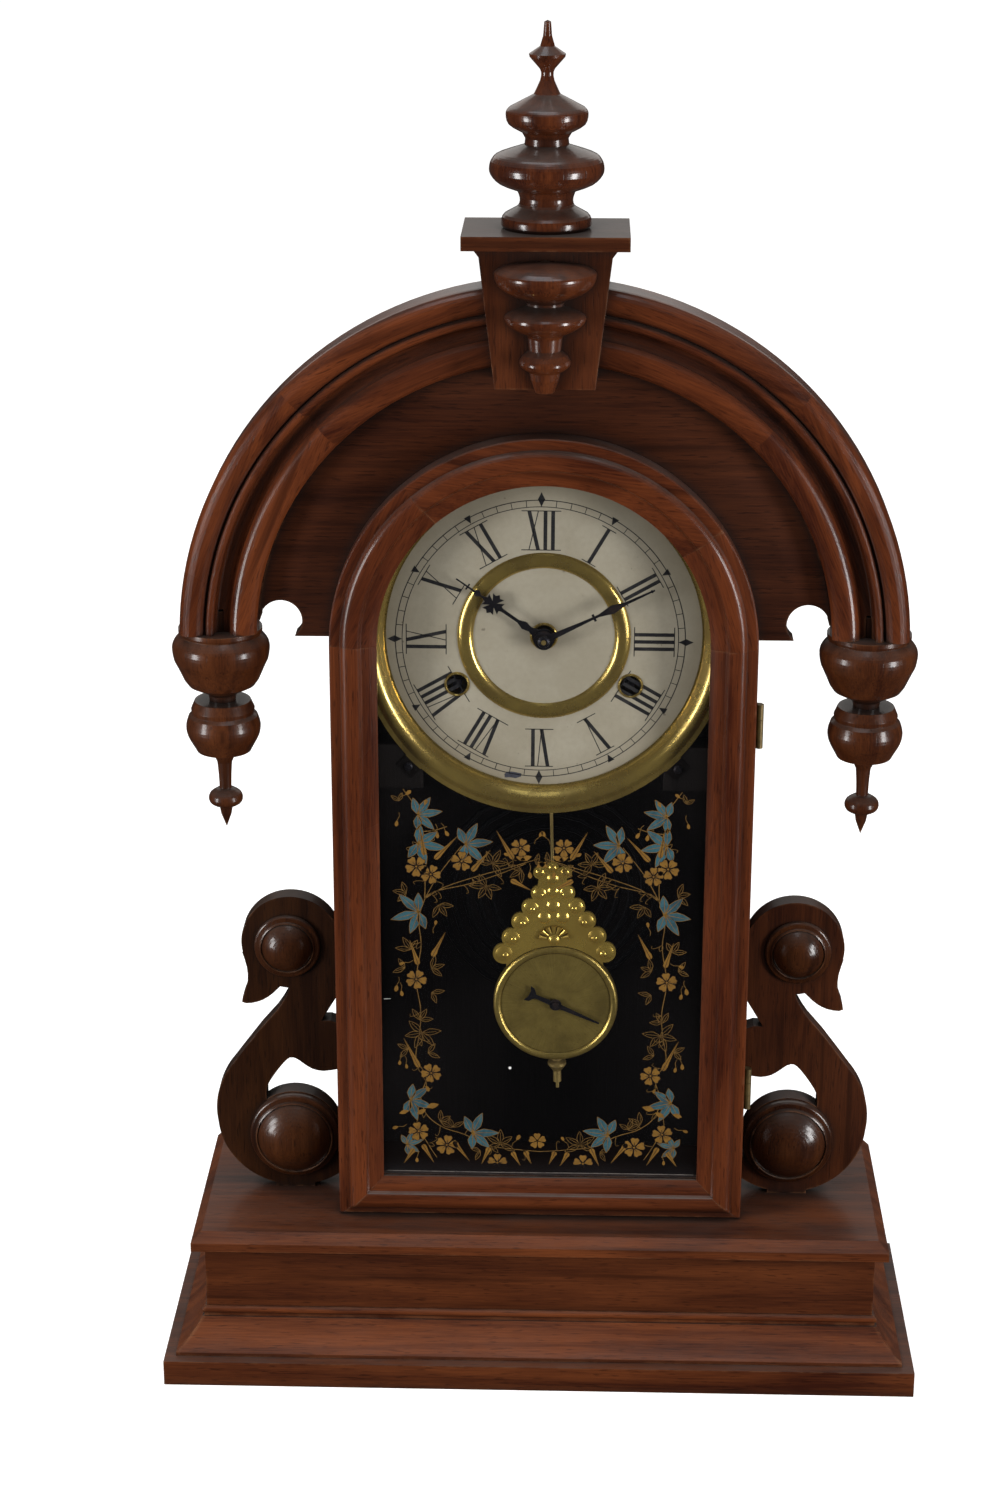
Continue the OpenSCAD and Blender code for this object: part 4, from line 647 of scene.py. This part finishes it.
def dress_brass():
    """Brass of the dial and pendulum is kept brighter than that of the movement."""
    rim = metal("brass_dial", *DIAL_BRASS, 0.22, tarnish=0.75, brushed=0.06, dark_past=RIM_R)
    dress(rim, "dial_rim", "dial_centre_ring", "dial_grommets")
    dress(metal("brass_pressed", *PRESSED_BRASS, 0.24, tarnish=0.55, grime_and_shade=0.9), "bob_pediment")
    disc = metal("brass_bob", *BOB_BRASS, 0.34, tarnish=0.85, brushed=0.35, spin=BOB_MIDDLE)
    dress(disc, "pendulum_bob")
    dress(metal("brass_movement", *OLD_BRASS, 0.36, tarnish=0.8, brushed=0.10), *OLD_BRASS_NODES)
    hinge = metal("brass_hinge", *HINGE_BRASS, 0.42, tarnish=0.9, brushed=0.05)
    dress(hinge, "door_hinge_leaves", "case_hinge_leaves", "door_catch")


def dress_iron():
    """Blued steel, dull springs and the cast base of the gong."""
    dress(dark_iron("steel_blued", *BLUED_STEEL, 0.34), *BLUED_NODES)
    dress(dark_iron("steel_spring", *SPRING_STEEL, 0.60), "suspension_spring", "mainsprings", "gong_coil")
    dress(dark_iron("iron_cast", *CAST_IRON, 0.55), "gong_block")


# Printing on the dial

NUMERALS = ["XII", "I", "II", "III", "IIII", "V", "VI", "VII", "VIII", "IX", "X", "XI"]
FOOT_R = 44.8
TOP_R = 63.8
RING_IN = 65.8
RING_OUT = 69.0
THICK = 1.75
THIN = 0.42
HALF_ADVANCE = {"I": 1.78, "V": 3.0, "X": 3.75}
HALF_LEAN = {"V": 2.4, "X": 2.15}
SERIF_PAST = 2.0
V_FOOT = 0.7
RING_IN_W = 0.36
RING_OUT_W = 0.42
TICK_W = 0.32
DIAMOND = [(0, 65.8), (0.8, 67.6), (1.7, 69.4), (0.8, 71.2), (0, 73), (-0.8, 71.2), (-1.7, 69.4),
           (-0.8, 67.6)]
TRIANGLE = [(0, 66), (1.7, 69.9), (-1.7, 69.9)]
PRINT_X = -1.8
DIAL_DROP = 2.2
DIAL_TURN = -0.2
INK_THICK = 0.04
INK = ((0.010, 0.010, 0.012), (0.035, 0.033, 0.032))
BARE_METAL = ((0.055, 0.058, 0.075), (0.030, 0.028, 0.034))
CHIP_AT = (-14.5, CENTRE_Z - 70.6)
CHIP_SIZE = 1.55
CHIP = [(-2.7, 0.2), (-2.0, 1.0), (-0.4, 1.1), (1.2, 0.8), (2.6, 0.5), (2.5, -0.5), (0.8, -1.1),
        (-1.2, -0.8), (-2.6, -0.9)]


def on_dial(points, hour_angle):
    """Points drawn with the numeral's foot toward the centre, turned to their place on the dial."""
    return placed(points, (PRINT_X, CENTRE_Z - DIAL_DROP), hour_angle + DIAL_TURN)


def letter_strokes(letter, x):
    """Thick and thin strokes of one letter, each a line and its width."""
    if letter == "I":
        return [([(x, FOOT_R), (x, TOP_R)], THICK)]
    lean = HALF_LEAN[letter]
    if letter == "V":
        foot = (x + V_FOOT, FOOT_R)
        return [([foot, (x - lean, TOP_R)], THICK), ([foot, (x + lean, TOP_R)], THIN)]
    falling = [(x + lean, FOOT_R), (x - lean, TOP_R)]
    rising = [(x - lean, FOOT_R), (x + lean, TOP_R)]
    return [(falling, THICK), (rising, THIN)]


def numeral(text, hour_angle):
    """A Roman numeral with long hairline serifs at its foot and head."""
    shapes = []
    width = 2 * sum(HALF_ADVANCE[c] for c in text)
    x = -width / 2
    for letter in text:
        x += HALF_ADVANCE[letter]
        for line, thick in letter_strokes(letter, x):
            shapes.append(on_dial(stroke(line, thick), hour_angle))
        x += HALF_ADVANCE[letter]
    reach = width / 2 + SERIF_PAST
    for r in (FOOT_R, TOP_R):
        shapes.append(on_dial(stroke([(-reach, r), (reach, r)], THIN), hour_angle))
    return shapes


def dial_ring(radius, width, count=180):
    """A printed circle as short plates."""
    shapes = []
    for i in range(count):
        a0, a1 = 360 * i / count, 360 * (i + 1) / count
        shapes.append(on_dial([polar(radius - width / 2, a0), polar(radius + width / 2, a0),
                               polar(radius + width / 2, a1), polar(radius - width / 2, a1)], 0))
    return shapes


def dial_marks():
    """Rings, minute ticks and numerals, with a diamond or a triangle outside each numeral."""
    shapes = dial_ring(RING_IN, RING_IN_W) + dial_ring(RING_OUT, RING_OUT_W)
    for minute in range(60):
        if minute % 5:
            shapes.append(on_dial(stroke([(0, RING_IN), (0, RING_OUT)], TICK_W), -6 * minute))
    for hour, text in enumerate(NUMERALS):
        angle = -30 * hour
        shapes += numeral(text, angle)
        shapes.append(on_dial(TRIANGLE if hour % 3 else DIAMOND, angle))
    return shapes


def print_dial():
    """Ink on the paper, and the chip that shows the metal under it."""
    front = PAPER_D - INK_THICK
    ink = printed("dial_ink", INK, 160.0, fade=0.7)
    prints("dial_printing", dial_marks(), front, INK_THICK, ink, "case")
    bare = printed("dial_chip_metal", BARE_METAL, 700.0, 0.5, 0.8)
    chip = placed(CHIP, CHIP_AT, 0, CHIP_SIZE)
    prints("dial_chip", [chip], front, INK_THICK, bare, "case")


# Painted border on the back of the glass

PAINT_THICK = 0.02
PAINT_GAP = 0.02
LEAF_SPREAD = 1.38
LEAF_LOBES = (90, 38, 142, -12, 192)
LOBE_SHARE = (1.0, 0.92, 0.92, 0.72, 0.72)
LOBE_SIDE = [(0.16, 0.45), (0.42, 1.0), (0.68, 0.78), (0.88, 0.34)]
PETAL = [(0.10, 0.0), (0.42, 0.26), (0.78, 0.40), (0.97, 0.24), (0.90, 0.0), (0.97, -0.24),
         (0.78, -0.40), (0.42, -0.26)]
TRUMPET_SIDE = [(0.0, 0.12), (0.45, 0.62), (0.72, 1.0), (0.84, 1.35), (0.95, 1.15), (1.0, 0.5)]
BUD = [(0, 0), (1.2, 0.75), (2.4, 0.95), (3.2, 0.5), (3.5, 0), (3.2, -0.5), (2.4, -0.95), (1.2, -0.75)]
BUD_STEM = [(0, 0), (-2.2, 0.7), (-4.2, 0.2)]


def lobe(length, half, bend=0.0):
    """A pointed leaf lobe from its foot at the origin along X."""
    top = [(s * length, h * half + bend * s) for s, h in LOBE_SIDE]
    low = [(s * length, -h * half + bend * s) for s, h in reversed(LOBE_SIDE)]
    return [(0, 0)] + top + [(length, bend)] + low


def palmate(size, rng):
    """Lobes of one five-pointed leaf: outlines and their mid veins."""
    lobes, veins = [], []
    for angle, share in zip(LEAF_LOBES, LOBE_SHARE):
        turn = angle + rng.uniform(-7, 7)
        length = size * share * rng.uniform(0.92, 1.08)
        lobes.append(placed(lobe(length, size * 0.17, rng.uniform(-0.4, 0.4)), (0, 0), turn))
        veins.append([(0, 0), turned((length * 0.9, 0), turn)])
    return lobes, veins


def petals(size, turn, count=5):
    """Outlines of rounded petals round a centre."""
    return [placed(PETAL, (0, 0), turn + 360 * i / count, size) for i in range(count)]


def trumpet(tip, bulb):
    """A closed long flower: a thin point opening into a rounded end."""
    dx, dz = bulb[0] - tip[0], bulb[1] - tip[1]
    length = math.hypot(dx, dz)
    angle = math.degrees(math.atan2(dz, dx))
    top = [(s * length, h) for s, h in TRUMPET_SIDE]
    low = [(s * length, -h) for s, h in reversed(TRUMPET_SIDE)]
    return placed(top + low, tip, angle)


# The left half of the border, in millimetres from the clock's middle and up from its foot
TEAL_LEAVES = [(-60, 293, 15, 8.6), (-60, 278, -20, 9.6), (-37, 278, 8, 9.4), (-60, 242, 188, 9.8),
               (-65, 140, -10, 9.0), (-67, 115, 20, 6.2), (-34, 122, 12, 9.6)]
FLOWERS = [(-61, 266, 5.6), (-54, 262, 5.2), (-39, 269, 5.4), (-10.5, 276.5, 5.0), (-61.5, 206, 5.4),
           (-54.5, 155, 5.4), (-61, 122.5, 5.4), (-47, 115, 5.8)]
TRUMPETS = [((-59, 286), (-57, 272)), ((-41, 282), (-52, 270)), ((-25, 275), (-34, 264)),
            ((-22, 285), (-14, 270.5)), ((-5, 254), (-15, 259.5)), ((-64.5, 227), (-60.5, 214)),
            ((-47, 231.5), (-53.5, 218.5)), ((-68, 174), (-60.5, 158)), ((-35.5, 106), (-43.5, 117)),
            ((-68.5, 104.5), (-63.5, 112.5)), ((-53.5, 105), (-59, 115)), ((-29.5, 104.5), (-25.5, 114)),
            ((-10, 104), (-14, 111.5)), ((-4.5, 105), (-7.5, 112))]
OUTLINE_LEAVES = [(-24, 268, 60, 7.5), (-27, 256, 235, 8.0), (-66, 252, 170, 7.0), (-50, 246, 300, 7.0),
                  (-64, 222, 120, 7.0), (-54, 212, 20, 6.5), (-67, 212, 160, 6.0), (-54, 199, -30, 6.0),
                  (-60, 184, 60, 6.5), (-59, 177, 250, 9.0), (-66, 168, 190, 6.0), (-56, 166, 20, 6.0),
                  (-50, 128, 30, 6.5), (-44, 125, 70, 6.0), (-20, 116, 90, 8.0), (-30, 112, 200, 5.5),
                  (-3, 268, 40, 6.0), (-10, 265, 215, 6.5), (-69, 300, 110, 5.0)]
VINES = [[(-57, 249), (-48, 255), (-32, 261), (-16, 266), (-1, 271)],
         [(-57, 249), (-52, 253), (-36, 257), (-22, 262), (-8, 268)],
         [(-57, 249), (-60, 238), (-59, 224), (-61.5, 206), (-59.5, 190), (-60, 178), (-62, 163),
          (-57, 153), (-60, 142), (-62, 126)],
         [(-60, 142), (-57, 132), (-49, 125), (-38, 121), (-26, 115), (-12, 113), (0, 112)],
         [(-57, 249), (-57, 262), (-60, 278), (-60, 294), (-67, 306)],
         [(-57, 249), (-50, 262), (-39, 277)],
         [(-60, 284), (-52, 285), (-46, 287)],
         [(-61, 124), (-55, 113), (-52, 108)]]
DROPS = [(-51, 284, -80), (-47, 285, -60), (-70, 290, -100), (-57, 298, 60), (-66, 303, 40),
         (-71, 203, -100), (-69, 200, -80), (-70, 162, -95), (-67, 160, -80), (-6, 264, -85),
         (-16, 272, 150), (-57, 148, -70), (-71, 125, 200), (-62, 108, -90), (-12, 118, 60),
         (-52, 235, 80), (-67, 215, 200), (-1.5, 282, 60)]
GOLD_LEAVES = [(-62, 132, 30, 5.5), (-57, 136, 15, 6.5), (-66, 134, 200, 5.0), (-5, 272, 200, 6.0),
               (-2, 269, 330, 5.5), (-8, 270, 160, 5.0)]
MIDDLE_FLOWER = (-1.5, 118, 4.4)
HALF_FLOWERS = [(-21.5, 105.5, 5.2)]
PETAL_INSET = 0.985
SPOKE_ENDS = (0.12, 0.50)
HEART_R = 0.55
HALF_TURN = 18
HALF_WITHOUT = (3, 4)
VINE_LEAF_SHARE = 0.6

# Widths of the painted lines, two where a line tapers
LEAF_EDGE_W = 0.24
MID_VEIN_W = (0.36, 0.144)
PETAL_EDGE_W = 0.2
SPOKE_W = (0.3, 0.15)
FOLD_W = (0.1, 0.26)
FAN_EDGE_W = 0.27
FAN_VEIN_W = 0.2
STEM_W = 0.25
VINE_W = (0.42, 0.315)
TENDRIL_W = (0.28, 0.16)
SMALL_LEAF_W = 0.24


class Half:
    """One half of the border, mirrored for the right side, with small seeded differences."""

    def __init__(self, mirror, rng, layers):
        self.mirror = mirror
        self.rng = rng
        self.layers = layers

    def lay(self, layer, points):
        self.layers[layer].append([(self.mirror * x, z) for x, z in points])

    def outline(self, layer, points, width):
        for piece in closed_stroke(points, width):
            self.lay(layer, piece)

    def teal_leaf(self, x, z, turn, size):
        lobes, veins = palmate(size * LEAF_SPREAD, self.rng)
        turn = turn - 90 + self.rng.uniform(-8, 8)
        for shape in lobes:
            leaf = placed(shape, (x, z), turn)
            self.lay("teal", leaf)
            self.outline("rim", leaf, LEAF_EDGE_W)
        for vein in veins:
            self.lay("fine", stroke(placed(vein, (x, z), turn), *MID_VEIN_W))

    def flower(self, x, z, size, half=False):
        """Bronze petals with dark edges, dark spokes and a small bronze heart."""
        turn = self.rng.uniform(0, 72)
        for i, petal in enumerate(petals(size, HALF_TURN if half else turn)):
            if half and i in HALF_WITHOUT:
                continue
            self.lay("gold", placed(petal, (x, z)))
            self.outline("dark", placed(petal, (x, z), 0, PETAL_INSET), PETAL_EDGE_W)
        for i in range(5):
            spoke = [polar(size * share, turn + 72 * i) for share in SPOKE_ENDS]
            self.lay("dark", stroke(placed(spoke, (x, z)), *SPOKE_W))
        self.lay("fine", placed([polar(HEART_R, 45 * k) for k in range(8)], (x, z)))

    def trumpet(self, tip, bulb):
        self.lay("gold", trumpet(tip, bulb))
        middle = ((tip[0] + bulb[0]) / 2, (tip[1] + bulb[1]) / 2)
        self.lay("dark", stroke([tip, middle, bulb], *FOLD_W))

    def outlined_leaf(self, x, z, turn, size):
        """A fan of two, three or five outlined lobes, by its size, each with its mid vein."""
        count = 5 if size > 7.2 else 3 if size > 6.2 else 2
        spread = 58 if count > 2 else 80
        for i in range(count):
            angle = turn + (i - (count - 1) / 2) * spread
            length = size * self.rng.uniform(0.85, 1.1)
            leaf = lobe(length, size * 0.19, self.rng.uniform(-0.5, 0.5))
            self.outline("vine", placed(leaf, (x, z), angle), FAN_EDGE_W)
            vein = [(x, z)] + placed([(size * 0.8, 0)], (x, z), angle)
            self.lay("vine", stroke(vein, FAN_VEIN_W))

    def drop(self, x, z, turn):
        """A bud that hangs from a short thin stem."""
        self.lay("gold", placed(BUD, (x, z), turn, self.rng.uniform(0.8, 1.1)))
        self.lay("vine", stroke(soft_line(placed(BUD_STEM, (x, z), turn), 4), STEM_W))

    def vine(self, line):
        smooth = soft_line(line, 8)
        self.lay("vine", stroke(smooth, *VINE_W))
        for i in range(6, len(smooth) - 4, 9):
            self.tendril(smooth[i], smooth[i + 1])

    def tendril(self, start, ahead):
        """A curl that leaves the vine to one side, often with a small leaf."""
        side = self.rng.choice((-1, 1))
        along = math.degrees(math.atan2(ahead[1] - start[1], ahead[0] - start[0]))
        heading = along + side * self.rng.uniform(35, 70)
        length = self.rng.uniform(3.0, 5.5)
        curl = [(0, 0), (length * 0.6, side * 0.8), (length, side * 2.2), (length * 0.8, side * 3.2)]
        self.lay("vine", stroke(soft_line(placed(curl, start, heading), 4), *TENDRIL_W))
        if self.rng.random() < VINE_LEAF_SHARE:
            leaf = lobe(self.rng.uniform(3.2, 5.0), 0.95)
            self.outline("vine", placed(leaf, start, heading - side * 25), SMALL_LEAF_W)

    def draw(self):
        """Lays every piece. The order fixes the seeded differences."""
        for leaf in TEAL_LEAVES:
            self.teal_leaf(*leaf)
        for flower in FLOWERS:
            self.flower(*flower)
        for flower in HALF_FLOWERS:
            self.flower(*flower, half=True)
        for flower in TRUMPETS:
            self.trumpet(*flower)
        for leaf in OUTLINE_LEAVES:
            self.outlined_leaf(*leaf)
        for x, z, turn, size in GOLD_LEAVES:
            self.lay("gold", placed(lobe(size, size * 0.24), (x, z), turn))
        for drop in DROPS:
            self.drop(*drop)
        for line in VINES:
            self.vine(line)


BRONZE = ((0.235, 0.118, 0.018), (0.130, 0.062, 0.011))
FAINT_BRONZE = ((0.200, 0.108, 0.024), (0.085, 0.046, 0.012))
TEAL = ((0.036, 0.112, 0.138), (0.014, 0.040, 0.055))
DARK_OUTLINE = ((0.020, 0.011, 0.006), (0.045, 0.024, 0.010))
# White for the painted glint and the scratch on the glass
GLINT_AND_SCRATCH_WHITE = ((0.90, 0.89, 0.86), (0.70, 0.70, 0.68))
EDGE_DUST = ((0.16, 0.14, 0.125), (0.05, 0.043, 0.04))
BORDER_SEED = 11
GLINT_AT = (-15.3, 158.4)
GLINT_R = 0.75
SCRATCH = [(-77.5, 195.2), (-74.2, 195.4)]
DUST_LINE = [(-77, 3.9), (-20, 3.7), (30, 3.9), (77, 3.8)]


def border_layers():
    """Name and material of the border's layers, the first of them nearest the glass."""
    bronze = printed("border_bronze", BRONZE, 240.0, 0.5, 0.6)
    faint = printed("border_vine", FAINT_BRONZE, 260.0, 0.5, 0.8)
    teal = printed("border_teal", TEAL, 200.0, 0.6, 0.8)
    shade = printed("border_outline", DARK_OUTLINE, 300.0)
    return {"dark": ("border_outlines", shade), "fine": ("border_veins", bronze),
            "rim": ("border_edges", bronze), "gold": ("border_flowers", bronze),
            "teal": ("border_leaves", teal), "vine": ("border_vines", faint)}


def paint_border():
    """The border as thin paint on the back of the glass."""
    looks = border_layers()
    layers = {layer: [] for layer in looks}
    rng = random.Random(BORDER_SEED)
    for mirror in (1, -1):
        Half(mirror, rng, layers).draw()
    x, z, size = MIDDLE_FLOWER
    layers["gold"] += [placed(p, (x, z)) for p in petals(size, 20)]
    for depth, (layer, (name, material)) in enumerate(looks.items()):
        front = GLASS_BACK_D + PAINT_GAP + depth * PAINT_THICK
        prints(name, layers[layer], front, PAINT_THICK, material, "door")


def mark_glass():
    """A painted white glint, a short scratch, and a dusting along the foot of the glass."""
    front = GLASS_BACK_D + PAINT_GAP
    white = printed("glass_glint_and_scratch", GLINT_AND_SCRATCH_WHITE, 900.0)
    # A small white disc on the glass: a painted glint.
    glint = placed([polar(GLINT_R, 30 * k) for k in range(12)], GLINT_AT)
    prints("glass_marks", [glint, stroke(SCRATCH, 0.35, 0.2)], front, PAINT_THICK, white, "door")
    pale_film = printed("glass_dust", EDGE_DUST, 240.0, 0.8, 0.9)
    line = stroke(placed(DUST_LINE, (0, glass_low.z)), 0.5)
    prints("glass_edge_dust", [line], front, PAINT_THICK, pale_film, "door")


# Light, floor and camera

FOCAL = 2925.7
PHOTO_HEIGHT = 1500
SENSOR = 36.0
CAMERA_AT = (0.0166, -1.3329, 0.8070)
CAMERA_DOWN = 20.125
CAMERA_YAW = -1.619
CAMERA_ROLL = 0.069
CLIP_END = 100
FLOOR_HALF = 15.0
ROOM_COLOUR = (1.0, 0.985, 0.96)
ROOM_LIGHT = 0.23
ROOM_IN_REFLECTIONS = 0.03
SUN_POWER = 0.9
SUN_SPREAD = 60
SUN_TURN = (22, -8, 0)
WHITE = (1.0, 1.0, 1.0)

# Place, point faced, width and height in metres, watts and colour of each soft light
SOFTBOXES = {
    "left_window": ((-1.25, -0.75, 0.34), (0, 0, 0.34), (0.32, 0.75), 13.5, WHITE),
    "right_window": ((1.25, -0.80, 0.34), (0, 0, 0.34), (0.32, 0.75), 16.5, WHITE),
    "high_window": ((-0.1, -0.1, 1.9), (0, 0, 0.3), (1.2, 0.8), 6.0, (0.84, 0.92, 1.0)),
    "back_wall": ((0, 2.4, 1.5), (0, 0, 0.4), (3.0, 1.4), 10.0, (1.0, 0.96, 0.92)),
}


def add_camera():
    """The photograph's view, worked out from the edges of the base, the door and the dial."""
    down, yaw, roll = (math.radians(a) for a in (CAMERA_DOWN, CAMERA_YAW, CAMERA_ROLL))
    forward = Vector((math.sin(yaw) * math.cos(down), math.cos(yaw) * math.cos(down), -math.sin(down)))
    level = Vector((math.cos(yaw), -math.sin(yaw), 0))
    upward = level.cross(forward)
    right = math.cos(roll) * level + math.sin(roll) * upward
    up = math.cos(roll) * upward - math.sin(roll) * level
    data = bpy.data.cameras.new("camera")
    data.sensor_width = SENSOR
    data.sensor_fit = "AUTO"
    data.lens = FOCAL / PHOTO_HEIGHT * SENSOR
    data.clip_end = CLIP_END
    camera = bpy.data.objects.new("camera", data)
    turn = Matrix((right, up, -forward)).transposed().to_4x4()
    camera.matrix_world = Matrix.Translation(CAMERA_AT) @ turn
    bpy.context.scene.collection.objects.link(camera)
    bpy.context.scene.camera = camera


def softbox(name, place, aim_at, size, power, colour):
    """A soft rectangular light aimed at a point."""
    data = bpy.data.lights.new(name, "AREA")
    data.shape = "RECTANGLE"
    data.size, data.size_y = size
    data.energy = power
    data.color = colour
    light = bpy.data.objects.new(name, data)
    light.location = place
    light.rotation_euler = (Vector(aim_at) - Vector(place)).to_track_quat("-Z", "Y").to_euler()
    light.visible_camera = False
    bpy.context.scene.collection.objects.link(light)


def add_room():
    """Even pale light all round, faint in reflections and white where the camera sees it."""
    world = bpy.data.worlds.new("room")
    bpy.context.scene.world = world
    world.use_nodes = True
    tree = world.node_tree
    tree.nodes.clear()
    path = tree.nodes.new("ShaderNodeLightPath")
    strength = tree.nodes.new("ShaderNodeMapRange")
    strength.inputs["To Min"].default_value = ROOM_LIGHT
    strength.inputs["To Max"].default_value = ROOM_IN_REFLECTIONS
    seen = tree.nodes.new("ShaderNodeMapRange")
    back = tree.nodes.new("ShaderNodeBackground")
    back.inputs["Color"].default_value = rgb(*ROOM_COLOUR)
    out = tree.nodes.new("ShaderNodeOutputWorld")
    tree.links.new(path.outputs["Is Glossy Ray"], strength.inputs["Value"])
    tree.links.new(path.outputs["Is Camera Ray"], seen.inputs["Value"])
    tree.links.new(strength.outputs["Result"], seen.inputs["To Min"])
    tree.links.new(seen.outputs["Result"], back.inputs["Strength"])
    tree.links.new(back.outputs[0], out.inputs[0])


def add_sun():
    """A high, wide and soft light that isn't mirrored in the brass."""
    sun = bpy.data.lights.new("high_light", "SUN")
    sun.energy = SUN_POWER
    sun.angle = math.radians(SUN_SPREAD)
    lamp = bpy.data.objects.new("high_light", sun)
    lamp.rotation_euler = tuple(math.radians(a) for a in SUN_TURN)
    lamp.visible_glossy = False
    bpy.context.scene.collection.objects.link(lamp)


def add_light():
    """The room, the high light, tall windows left and right, one above, and a pale wall behind."""
    add_room()
    add_sun()
    for name, settings in SOFTBOXES.items():
        softbox(name, *settings)


def add_floor():
    """A wide floor at the clock's foot."""
    mesh = bpy.data.meshes.new("floor")
    half = FLOOR_HALF
    corners = [(-half, -half, 0), (half, -half, 0), (half, half, 0), (-half, half, 0)]
    mesh.from_pydata(corners, [], [(0, 1, 2, 3)])
    mesh.materials.append(plain_floor("floor_pale"))
    floor = bpy.data.objects.new("floor", mesh)
    floor.location.z = cad_box[0].z
    floor.visible_glossy = False
    floor.visible_diffuse = False
    bpy.context.scene.collection.objects.link(floor)


dress_wood()
dress_brass()
dress_iron()
dress(dial_paper("paper_cream"), "dial_plate")
dress(window_glass("glass_old"), "door_glass")
print_dial()
paint_border()
mark_glass()
add_camera()
add_light()
add_floor()
bpy.context.scene.view_settings.view_transform = "Standard"
